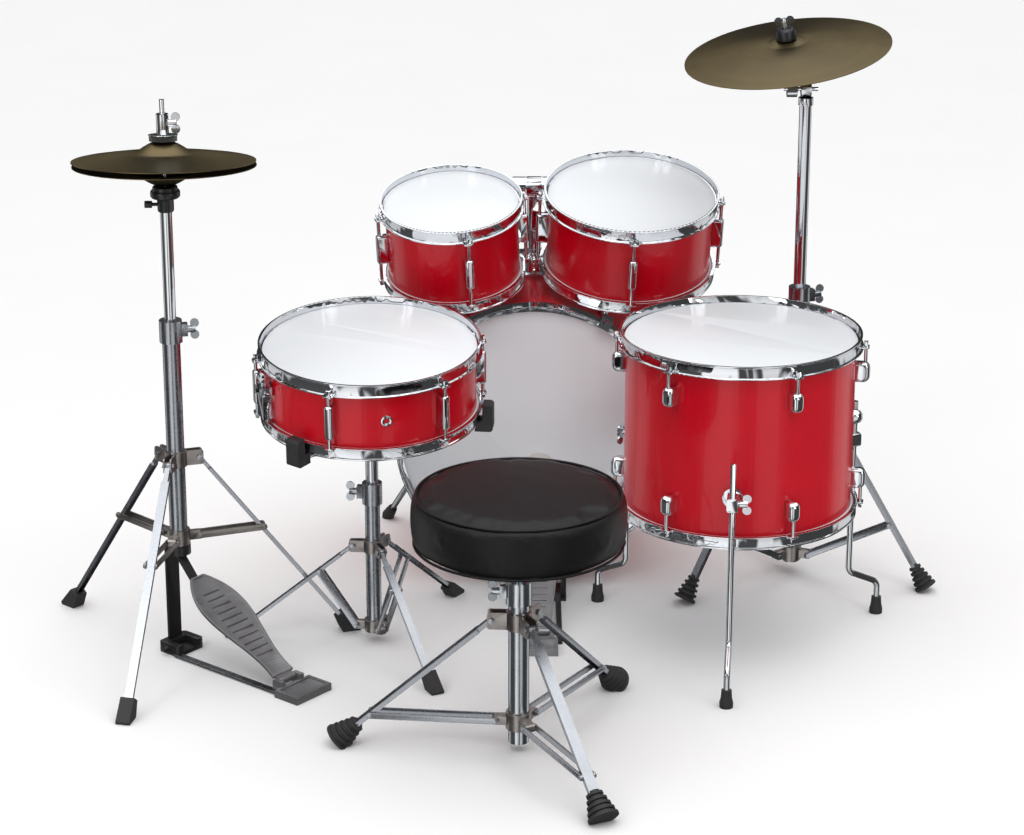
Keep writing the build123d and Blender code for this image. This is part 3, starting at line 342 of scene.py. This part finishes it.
def make_dark_goods(tones):
    """Rubber, black paint and black felt."""
    rubber = Finish("kit_rubber")
    dust = rubber.noise(70, 4)
    rubber.colour(rubber.blend(dust ** 2, tones.rubber, scaled(tones.rubber, 2.6)))
    rubber.rough(0.50 + 0.25 * dust)
    rubber.bump(rubber.noise(700, 3), 0.0005, 0.35)
    paint = Finish("kit_paint", Coat_Weight=0.25, Coat_Roughness=0.2)
    worn = paint.noise(110, 5)
    paint.colour(paint.blend((worn - 0.62).clamp(0, 0.3), tones.paint, (0.13, 0.13, 0.13)))
    paint.rough(0.30 + 0.22 * worn)
    paint.bump(paint.noise(500, 3), 0.0004, 0.3)
    felt = Finish("kit_felt", Sheen_Weight=0.5, Sheen_Roughness=0.5)
    fluff = felt.noise(900, 5, 0.7)
    felt.colour(felt.blend(fluff, (0.008, 0.008, 0.009), tones.felt))
    felt.rough(0.85 + 0.1 * fluff)
    felt.bump(fluff, 0.0014, 0.7)


def make_small_goods(tones):
    """Pale beater felt and woven strap."""
    pale = Finish("kit_beater", Sheen_Weight=0.4)
    fluff = pale.noise(700, 5, 0.7)
    pale.colour(pale.blend(fluff, (0.45, 0.44, 0.42), tones.beater))
    pale.rough(0.85 + 0.1 * fluff)
    pale.bump(fluff, 0.0014, 0.7)
    strap = Finish("kit_strap", Roughness=0.75)
    weave = strap.node("TexWave", Vector=strap.place(), Scale=260.0, Distortion=1.0, Detail=2.0)
    strap.colour(strap.blend(weave, (0.008, 0.008, 0.009), tones.strap))
    strap.bump(weave, 0.0006, 0.6)


def bronze_finish(name, centre, turn):
    """Lathed bronze with rings about a cymbal's own axis."""
    tones = bpy.context.scene.kit_finish
    bronze = Finish(name, Metallic=1.0, Anisotropic=0.55)
    spot = bronze.place(centre, turn)
    x, y, _ = bronze.axes(spot)
    radius = (x * x + y * y) ** 0.5
    flat = bronze.node("CombineXYZ", n0=radius, n1=0.0, n2=0.0)
    bands = bronze.noise(420, 4, 0.75, flat)
    wide = bronze.noise(46, 3, 0.6, flat)
    cloud = bronze.noise(18, 3)
    share = (bands * 0.55 + wide * 0.35 + cloud * 0.3 - 0.12).clamp(0, 1)
    bronze.colour(bronze.blend(share, tones.bronze, tones.bronze_glow))
    bronze.rough(0.24 + 0.16 * bands + 0.08 * cloud)
    bronze.bump(bands, 0.00045, 0.5)
    return bronze.material


# ---------------------------------------------------------------------------
# Mesh helpers
# ---------------------------------------------------------------------------
DOUBLES = 4e-6
SLIVER = 1e-6
EDGE_ANGLE = math.radians(38)


def new_piece(name, bm, body, materials, node=None, angle=32.0):
    """Turn a bmesh into a piece that rides on a body and may stand for a CAD node."""
    mesh = bpy.data.meshes.new(name)
    bm.to_mesh(mesh)
    bm.free()
    for material in materials:
        mesh.materials.append(material)
    mesh.shade_smooth()
    mesh.set_sharp_from_angle(angle=math.radians(angle))
    piece = bpy.data.objects.new(name, mesh)
    bpy.context.scene.collection.objects.link(piece)
    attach(piece, body)
    if node:
        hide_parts(node)
    return piece


def islands(bm):
    """Groups of faces joined through edges of two faces, each with its lowest and highest corner."""
    left = set(bm.faces)
    groups = []
    while left:
        stack = [left.pop()]
        group = []
        while stack:
            face = stack.pop()
            group.append(face)
            for edge in face.edges:
                if len(edge.link_faces) != 2:
                    continue
                for other in edge.link_faces:
                    if other in left:
                        left.remove(other)
                        stack.append(other)
        points = [v.co for f in group for v in f.verts]
        low = Vector([min(p[i] for p in points) for i in range(3)])
        high = Vector([max(p[i] for p in points) for i in range(3)])
        groups.append((group, low, high))
    return groups


def merged(node):
    """Copy of a CAD node's mesh with its doubles merged."""
    bm = bmesh.new()
    bm.from_mesh(frame["nodes"][node].data)
    bmesh.ops.remove_doubles(bm, verts=bm.verts, dist=DOUBLES)
    bmesh.ops.dissolve_degenerate(bm, edges=bm.edges, dist=SLIVER)
    return bm


def dress(node, rules=(), bevel=0.0004, base="chrome", skip=None):
    """Finish a CAD node: each solid becomes part of the piece of the first rule that takes it.

    A rule is (suffix, finish, slot, test of a solid's low and high corner), and what no rule takes
    gets the base finish. A solid that skip accepts is left to a piece made for its place.
    """
    rules = list(rules) + [(None, base, SLOT[node], lambda low, high: True)]
    source = merged(node)
    source.faces.index_update()
    taken = {}
    for group, low, high in islands(source):
        if skip and skip(low, high):
            continue
        index = next(i for i, rule in enumerate(rules) if rule[3](low, high))
        taken.setdefault(index, set()).update(face.index for face in group)
    made = finishes()
    for index, members in sorted(taken.items()):
        suffix, finish, slot_name, _ = rules[index]
        bm = source.copy()
        away = [face for face in bm.faces if face.index not in members]
        bmesh.ops.delete(bm, geom=away, context="FACES")
        name = node + "_" + (suffix or "finish")
        piece = new_piece(name, bm, BODY[node], [made[finish]], node)
        if bevel:
            edge = piece.modifiers.new("edge", "BEVEL")
            edge.width = bevel
            edge.segments = 2
            edge.limit_method = "ANGLE"
            edge.angle_limit = EDGE_ANGLE
            edge.harden_normals = True
    source.free()


def spun(outline, steps, frame_matrix=None):
    """Solid of revolution about Z from a closed outline of (radius, height) points."""
    bm = bmesh.new()
    ring = [bm.verts.new((r, 0, z)) for r, z in outline]
    edges = [bm.edges.new((a, b)) for a, b in zip(ring, ring[1:] + ring[:1])]
    bmesh.ops.spin(bm, geom=ring + edges, cent=(0, 0, 0), axis=(0, 0, 1), angle=math.tau, steps=steps,
                   use_merge=True)
    bmesh.ops.remove_doubles(bm, verts=bm.verts, dist=1e-7)
    bmesh.ops.recalc_face_normals(bm, faces=bm.faces)
    if frame_matrix:
        bmesh.ops.transform(bm, matrix=frame_matrix, verts=bm.verts)
    return bm


def axis_matrix(centre, axis):
    """Matrix that puts local Z on an axis at a centre."""
    turn = Vector((0, 0, 1)).rotation_difference(Vector(axis))
    return Matrix.Translation(centre) @ turn.to_matrix().to_4x4()


def low_foot(low, high):
    """A solid that stands on the floor and isn't tall."""
    return low.z < 0.001 and high.z < 0.07


def flat_ring(low, high):
    """A bracket: low, and about as wide as it is deep."""
    wide = high - low
    return wide.z < 0.03 and 0.04 < wide.x < 0.12 and 0.04 < wide.y < 0.12 and low.z > 0.01


def seat_cup(low, high):
    """The cup under the lower hi-hat cymbal: short and wide."""
    wide = high - low
    return wide.z < 0.05 and wide.x > 0.03


FOOT = ("foot", "rubber", "rubber", low_foot)
BRACKET = ("bracket", "bracket", "bracket_steel", flat_ring)
STRAP = ("strap", "strap", "black_metal")


# ---------------------------------------------------------------------------
# Pieces
# ---------------------------------------------------------------------------
DRUMS = ("bass", "floor_tom", "snare", "tom_left", "tom_right")
HIHAT_ROD = (-0.469, 0.002)


class KIT_OT_shells(bpy.types.Operator):
    """Give the drum shells their glossy wrap"""

    bl_idname = "kit.shells"
    bl_label = "Shells"

    def execute(self, context):
        for drum in DRUMS:
            dress(drum + "_shell", base="wrap", bevel=0)
        return {"FINISHED"}


class KIT_OT_heads(bpy.types.Operator):
    """Give the drum heads their coated film"""

    bl_idname = "kit.heads"
    bl_label = "Heads"

    def execute(self, context):
        for drum in DRUMS:
            dress(drum + "_heads", base="film", bevel=0.0003)
        return {"FINISHED"}


class KIT_OT_hoops(bpy.types.Operator):
    """Plate the hoops, lugs and rods of every drum"""

    bl_idname = "kit.hoops"
    bl_label = "Hoops and lugs"

    def execute(self, context):
        for drum in DRUMS:
            dress(drum + "_hoops", bevel=0.0003)
            dress(drum + "_lugs", bevel=0.0004)
        dress("bass_brackets")
        for side in ("left", "right"):
            dress("bass_spur_" + side, [FOOT])
            dress("tom_" + side + "_arm")
        dress("tom_post")
        return {"FINISHED"}


class KIT_OT_floor_tom_legs(bpy.types.Operator):
    """Plate the floor tom's legs and put rubber on their ends"""

    bl_idname = "kit.floor_tom_legs"
    bl_label = "Floor tom legs"

    def execute(self, context):
        for place in ("front", "left", "right"):
            dress("floor_tom_leg_" + place, [FOOT], bevel=0)
        return {"FINISHED"}


class KIT_OT_snare_fittings(bpy.types.Operator):
    """Finish the snare's strainer, lever, wires, basket and stand"""

    bl_idname = "kit.snare_fittings"
    bl_label = "Snare fittings"

    def execute(self, context):
        dress("snare_strainer")
        dress("snare_lever")
        dress("snare_wires", base="wire", bevel=0)
        dress("snare_basket", [("grip", "rubber", "rubber", lambda low, high: (high - low).length < 0.08)])
        dress("snare_stand_post")
        dress("snare_stand", [FOOT, BRACKET], base="strip")
        return {"FINISHED"}


class KIT_OT_stands(bpy.types.Operator):
    """Finish the hi-hat stand, the crash stand and the throne's metal"""

    bl_idname = "kit.stands"
    bl_label = "Stands"

    def execute(self, context):
        dress("hihat_stand", [FOOT, BRACKET], base="strip")
        knob = ("tilt_screw", "paint", "black_metal", lambda low, high: high.x - low.x < 0.03 and low.z > 0.6)
        dress("hihat_upper_tube", [knob], skip=seat_cup)
        self.seat(finishes()["paint"])
        dress("hihat_rod", [STRAP + (lambda low, high: high.z - low.z < 0.1,)])
        felt = ("felt", "felt", "felt", lambda low, high: 0.006 < high.z - low.z < 0.0145)
        washer = ("washer", "chrome", "chrome", lambda low, high: high.z - low.z <= 0.006)
        dress("hihat_clutch", [felt, washer])
        dress("crash_stand", [FOOT, BRACKET], base="strip")
        dress("crash_upper_tube")
        cup = ("cup", "paint", "black_metal", lambda low, high: low.z > 0.83 and high.y - low.y > 0.02)
        pad = ("felt", "felt", "felt", lambda low, high: high.z - low.z < 0.022 and high.y - low.y > 0.02)
        dress("crash_tilter", [cup, pad])
        dress("throne_tube", [BRACKET], base="satin")
        dress("throne_post")
        dress("throne_collar", base="bracket")
        for place in ("front", "left", "right"):
            dress("throne_leg_" + place, [FOOT], base="strip")
            dress("throne_brace_" + place, base="strip")
        return {"FINISHED"}

    def seat(self, finish):
        """Black seat cup under the lower cymbal, with its stepped sleeve."""
        outline = [
            (0.0048, 0.660), (0.0105, 0.6602), (0.0115, 0.662), (0.0115, 0.676), (0.0125, 0.678),
            (0.0185, 0.680), (0.0205, 0.682), (0.0208, 0.688), (0.0198, 0.690), (0.0185, 0.6905),
            (0.0178, 0.692), (0.0172, 0.6955), (0.0150, 0.6968), (0.0048, 0.6968),
        ]
        cup = spun(outline, 64, Matrix.Translation((*HIHAT_ROD, 0)))
        new_piece("hihat_seat_cup", cup, "hihat_upper", [finish])


class KIT_OT_pedals(bpy.types.Operator):
    """Finish both pedals"""

    bl_idname = "kit.pedals"
    bl_label = "Pedals"

    def execute(self, context):
        heel = ("heel_plate", "board", "board_grey", lambda low, high: high.z < 0.03)
        bar = ("bar", "strip", "strap_steel", lambda low, high: high.z < 0.0065)
        dress("hihat_pedal_frame", [bar, heel], base="paint")
        dress("hihat_footboard", base="board")
        dress("kick_frame", [heel], base="paint")
        dress("kick_footboard", [STRAP + (lambda low, high: high.y - low.y < 0.02,)], base="board")
        ball = ("ball", "beater", "felt", lambda low, high: high.x - low.x < 0.06)
        dress("kick_beater", [ball])
        return {"FINISHED"}


CRASH = {"radius": 0.1525, "rise": 0.020, "bell": (0.032, 0.004)}
HIHAT = {"radius": 0.127, "rise": 0.027, "bell": (0.045, 0.017)}
CYMBAL_HOLE = 0.006
SECTION_STEPS = 96
# Node, height of the middle of its rim, lean away from the player in degrees, way that its bell points.
HIHAT_PAIR = (("hihat_top_cymbal", 0.733, 6.5, 1), ("hihat_bottom_cymbal", 0.724, 5.5, -1))


def cymbal_outline(radius, rise, bell, sheet, groove):
    """Section of a cymbal: bell, bow and lathe lines, with an even thickness.

    The bell is given by the radius of its foot and its height.
    """
    foot, top = bell
    points = []
    for i in range(SECTION_STEPS + 1):
        r = CYMBAL_HOLE + (radius - CYMBAL_HOLE) * (i / SECTION_STEPS)
        if r < foot:
            s = (r - CYMBAL_HOLE) / (foot - CYMBAL_HOLE)
            z = rise - top * (s * s * (3 - 2 * s)) * (0.55 + 0.45 * s)
        else:
            s = (r - foot) / (radius - foot)
            z = (rise - top) * (1 - s ** 1.35)
        points.append((r, z + groove * math.sin(i * 2.4)))
    return points + [(r, z - sheet) for r, z in reversed(points)]


class KIT_OT_cymbals(bpy.types.Operator):
    """Spin the crash cymbal and the two hi-hat cymbals"""

    bl_idname = "kit.cymbals"
    bl_label = "Cymbals"

    def execute(self, context):
        dims = context.scene.kit_cymbal
        crash = next(j for j in frame["joints"] if j["name"] == "crash_cymbal_spin")
        specs = [("crash_cymbal", Vector(crash["pos_m"]), Vector(crash["axis"]), CRASH)]
        for node, height, lean, up in HIHAT_PAIR:
            axis = Vector((0, math.sin(math.radians(lean)), math.cos(math.radians(lean))))
            centre = Vector((HIHAT_ROD[0], HIHAT_ROD[1] - up * HIHAT["rise"] * axis.y, height))
            specs.append((node, centre, axis * up, HIHAT))
        for node, centre, axis, shape in specs:
            outline = cymbal_outline(**shape, sheet=dims.sheet, groove=dims.groove)
            matrix = axis_matrix(centre, axis)
            turn = matrix.to_3x3().inverted().to_euler()
            material = bronze_finish(PREFIX + node, centre, turn)
            bm = spun(outline, dims.steps, matrix)
            new_piece(node + "_lathed", bm, BODY[node], [material], node, 40)
        return {"FINISHED"}


VOXEL = 0.005
CLOTH_FRAMES = 20


def cushion_form(radius, low, high):
    """Closed round form of the seat: domed top, seam, rounded shoulder, pulled-in bottom."""
    outline = [
        (0.0, high + 0.0015), (radius * 0.3, high + 0.001), (radius * 0.6, high - 0.0005),
        (radius * 0.82, high - 0.0025), (radius - 0.0105, high - 0.0045), (radius - 0.0078, high - 0.0062),
        (radius - 0.0040, high - 0.0085), (radius - 0.0012, high - 0.014), (radius, high - 0.024),
        (radius + 0.0004, (low + high) / 2), (radius - 0.0004, low + 0.022), (radius - 0.003, low + 0.010),
        (radius - 0.008, low + 0.003), (radius - 0.016, low + 0.0006), (0.0, low + 0.0006),
    ]
    return spun(outline, 96)


class KIT_OT_cushion(bpy.types.Operator):
    """Stuff the seat cushion by cloth simulation and add its piping"""

    bl_idname = "kit.cushion"
    bl_label = "Cushion"

    def execute(self, context):
        dims = context.scene.kit_cushion
        low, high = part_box("throne_cushion")
        centre = (low + high) / 2
        radius = (high.x - low.x) / 2
        bm = cushion_form(radius, low.z, high.z)
        bmesh.ops.translate(bm, verts=bm.verts, vec=(centre.x, centre.y, 0))
        vinyl = [finishes()["vinyl"]]
        cushion = new_piece("seat_cushion", bm, "throne_cushion", vinyl, "throne_cushion", 70)
        stuff(cushion, dims, centre, low.z + 0.0008)
        cushion.data.shade_smooth()
        rings = (
            ("seat_piping_top", radius - 0.0078, high.z - 0.0052),
            ("seat_piping_bottom", radius - 0.0045, low.z + 0.0065),
        )
        for name, away, level in rings:
            bead = [(away + dims.piping * math.cos(a), level + dims.piping * math.sin(a))
                    for a in (math.tau * i / 12 for i in range(12))]
            ring = spun(bead, 144)
            bmesh.ops.translate(ring, verts=ring.verts, vec=(centre.x, centre.y, 0))
            new_piece(name, ring, "throne_cushion", vinyl, angle=60)
        return {"FINISHED"}


def stuff(cushion, dims, centre, floor):
    """Remesh the cushion, blow it up with cloth and keep each point near its start."""
    context = bpy.context
    context.view_layer.objects.active = cushion
    remesh = cushion.modifiers.new("voxels", "REMESH")
    remesh.mode = "VOXEL"
    remesh.voxel_size = VOXEL
    bpy.ops.object.modifier_apply(modifier="voxels")
    start = [v.co.copy() for v in cushion.data.vertices]
    cloth = cushion.modifiers.new("cloth", "CLOTH")
    cloth.settings.use_pressure = True
    cloth.settings.uniform_pressure_force = dims.pressure
    cloth.settings.effector_weights.gravity = 0
    cloth.settings.quality = 5
    for number in range(1, CLOTH_FRAMES + 1):
        context.scene.frame_set(number)
    bpy.ops.object.modifier_apply(modifier="cloth")
    context.scene.frame_set(1)
    for vertex, before in zip(cushion.data.vertices, start):
        move = vertex.co - before
        out = Vector((before.x - centre.x, before.y - centre.y, 0))
        if out.length > 0.001:
            out.normalize()
            radial = move.dot(out)
            move += out * (min(max(radial, -dims.give), dims.cap) - radial)
        move.z = min(max(move.z, -dims.give), dims.cap)
        vertex.co = before + move
        vertex.co.z = max(vertex.co.z, floor)
    relax = bmesh.new()
    relax.from_mesh(cushion.data)
    for _ in range(2):
        bmesh.ops.smooth_vert(relax, verts=relax.verts, factor=0.5, use_axis_x=True, use_axis_y=True,
                              use_axis_z=True)
    relax.to_mesh(cushion.data)
    relax.free()
    finer = cushion.modifiers.new("finer", "SUBSURF")
    finer.levels = 1
    finer.render_levels = 1
    bpy.ops.object.modifier_apply(modifier="finer")


SNARE_LEAN = math.radians(6.2)
SNARE_TOP = (-0.192, 0.040, 0.462)
SNARE_HALF_HEIGHT = 0.0575
SNARE_WALL_R = 0.151
VENT_AZIMUTH = math.radians(-79)
VENT_RING = [(0.0036, -0.002), (0.0046, 0.0002), (0.0084, 0.0002), (0.0080, 0.0014), (0.0062, 0.0022),
             (0.0044, 0.0016), (0.0036, 0.0004)]
# Black disc sunk in the vent ring: painted shade for the dark inside of the drum seen through the hole.
VENT_SHADE_DISC = [(0.0, -0.0018), (0.0035, -0.0018), (0.0035, -0.0002), (0.0, -0.0006)]
STUD = [(0.0, 0.014), (0.004, 0.0135), (0.008, 0.011), (0.0105, 0.006), (0.011, 0.0), (0.0, 0.0)]
FLOOR_TOM_AXIS = (0.335, 0.044)
FLOOR_TOM_WALL_R = 0.1635
STUD_HEIGHT = 0.345


class KIT_OT_small_parts(bpy.types.Operator):
    """Add the snare's vent ring with a black disc of painted shade in its hole, and the floor tom's stud"""

    bl_idname = "kit.small_parts"
    bl_label = "Small parts"

    def execute(self, context):
        made = finishes()
        axis_up = Vector((0, -math.sin(SNARE_LEAN), math.cos(SNARE_LEAN)))
        middle = Vector(SNARE_TOP) - axis_up * SNARE_HALF_HEIGHT
        side = Vector((1, 0, 0))
        away = side * math.cos(VENT_AZIMUTH) + axis_up.cross(side) * math.sin(VENT_AZIMUTH)
        at = axis_matrix(middle + away * SNARE_WALL_R, away)
        ring = spun(VENT_RING, 40, at)
        new_piece("snare_vent_ring", ring, "snare_drum", [made["chrome"]])
        # The hole is a black painted disc: painted shade where the drum's dark inside would show.
        shade_disc = spun(VENT_SHADE_DISC, 24, at)
        new_piece("snare_vent_painted_shade", shade_disc, "snare_drum", [made["paint"]])
        wall = Vector((FLOOR_TOM_AXIS[0] + FLOOR_TOM_WALL_R, FLOOR_TOM_AXIS[1], STUD_HEIGHT))
        knob = spun(STUD, 32, axis_matrix(wall, side))
        new_piece("floor_tom_stud", knob, "root", [made["chrome"]])
        return {"FINISHED"}


# ---------------------------------------------------------------------------
# Stage
# ---------------------------------------------------------------------------
# Tone of the surroundings by the share of a turn, and by height from straight down at 0 to straight up at 1.
SKY_PANELS = [(0.0, 0.05), (0.13, 0.06), (0.15, 1.2), (0.22, 1.2), (0.245, 0.05), (0.28, 0.05),
              (0.30, 0.9), (0.345, 0.9), (0.37, 0.03), (0.53, 0.03), (0.56, 0.75), (0.62, 0.75),
              (0.65, 0.02), (0.86, 0.02), (0.89, 0.7), (0.95, 0.7), (0.98, 0.05)]
SKY_SHARE = [(0.0, 0.3), (0.2, 0.8), (0.34, 1.0), (0.5, 0.9), (0.62, 0.5), (0.74, 0.05)]
SKY_CEILING = [(0.78, 0.0), (0.84, 1.5), (1.0, 1.62)]
SKY_BASE = 0.03
# Name, share of the key light's power, width and height, place.
LIGHTS = (
    ("key", 1.0, (0.7, 2.0), (-2.3, -2.6, 1.9)),
    ("fill", 0.8, (0.5, 2.0), (2.6, -2.4, 1.7)),
    ("top", 0.9, (2.4, 1.4), (0.3, -1.6, 3.4)),
)
LIGHT_TARGET = (0, 0.1, 0.35)
FLOOR_HALF = 14


def area_light(name, energy, size_xy, place):
    data = bpy.data.lights.new(name, "AREA")
    data.shape = "RECTANGLE"
    data.size, data.size_y = size_xy
    data.energy = energy
    lamp = bpy.data.objects.new(name, data)
    bpy.context.scene.collection.objects.link(lamp)
    lamp.location = place
    lamp.rotation_euler = (Vector(LIGHT_TARGET) - Vector(place)).to_track_quat("-Z", "Y").to_euler()


class KIT_OT_stage(bpy.types.Operator):
    """Build the floor, the light and the camera"""

    bl_idname = "kit.stage"
    bl_label = "Stage"

    def execute(self, context):
        scene = context.scene
        stage = scene.kit_stage
        self.floor(scene)
        world = bpy.data.worlds.new("studio")
        scene.world = world
        world.use_nodes = True
        self.sky(world.node_tree)
        for name, share, size_xy, place in LIGHTS:
            area_light(name, stage.key * share, size_xy, place)
        self.camera(scene, stage)
        scene.view_settings.view_transform = "Standard"
        return {"FINISHED"}

    def floor(self, scene):
        """Pale floor that takes the shadows."""
        bm = bmesh.new()
        bmesh.ops.create_grid(bm, x_segments=2, y_segments=2, size=FLOOR_HALF)
        mesh = bpy.data.meshes.new("studio_floor")
        bm.to_mesh(mesh)
        bm.free()
        floor = bpy.data.objects.new("studio_floor", mesh)
        scene.collection.objects.link(floor)
        pale = Finish("stage_floor", Roughness=0.75, Specular_IOR_Level=0.2)
        pale.colour(pale.blend(pale.noise(3, 2), (0.90, 0.90, 0.90), (0.93, 0.93, 0.93)))
        mesh.materials.append(pale.material)
        floor.visible_glossy = False

    def camera(self, scene, stage):
        data = bpy.data.cameras.new("view")
        data.lens = stage.lens
        data.sensor_width = 36
        data.clip_end = 100
        camera = bpy.data.objects.new("view", data)
        camera.location = stage.eye
        camera.rotation_euler = (math.pi / 2 - stage.pitch, 0, 0)
        scene.collection.objects.link(camera)
        scene.camera = camera

    def sky(self, tree):
        """Bright ceiling over upright panels, so that the chrome has something to mirror."""
        sky = Shading(tree)
        x, y, z = sky.axes(sky.node("TexCoord"))
        turn = sky.node("Math", settings={"operation": "ARCTAN2"}, n0=y, n1=x) * (1 / math.tau) + 0.5
        panels = sky.node("ValToRGB", stops=SKY_PANELS, Fac=turn)
        height = z * 0.5 + 0.5
        share = sky.node("ValToRGB", stops=SKY_SHARE, Fac=height)
        ceiling = sky.node("ValToRGB", stops=SKY_CEILING, Fac=height)
        total = panels * share + ceiling + SKY_BASE
        background = tree.nodes["Background"]
        tree.links.new(total.socket, background.inputs["Color"])
        background.inputs["Strength"].default_value = 1.0


class KIT_PT_panel(bpy.types.Panel):
    """Sidebar panel that lists the steps."""

    bl_label = "Drum Kit"
    bl_idname = "KIT_PT_panel"
    bl_space_type = "VIEW_3D"
    bl_region_type = "UI"
    bl_category = "Drum Kit"

    def draw(self, context):
        for step in STEPS:
            self.layout.operator(step.bl_idname)


STEPS = (KIT_OT_stage, KIT_OT_shells, KIT_OT_heads, KIT_OT_hoops, KIT_OT_floor_tom_legs,
         KIT_OT_snare_fittings, KIT_OT_stands, KIT_OT_pedals, KIT_OT_cymbals, KIT_OT_cushion,
         KIT_OT_small_parts)
GROUPS = {"kit_finish": FinishSettings, "kit_cushion": CushionSettings, "kit_cymbal": CymbalSettings,
          "kit_stage": StageSettings}


def register():
    """Register the settings, the steps and the panel."""
    for group in GROUPS.values():
        bpy.utils.register_class(group)
    for key, group in GROUPS.items():
        setattr(bpy.types.Scene, key, PointerProperty(type=group))
    for step in STEPS + (KIT_PT_panel,):
        bpy.utils.register_class(step)


def unregister():
    """Remove what register added."""
    for step in reversed(STEPS + (KIT_PT_panel,)):
        bpy.utils.unregister_class(step)
    for key, group in GROUPS.items():
        delattr(bpy.types.Scene, key)
        bpy.utils.unregister_class(group)


def main():
    """Run every step in order."""
    register()
    for step in STEPS:
        group, name = step.bl_idname.split(".")
        getattr(getattr(bpy.ops, group), name)()


if __name__ == "__main__":
    main()
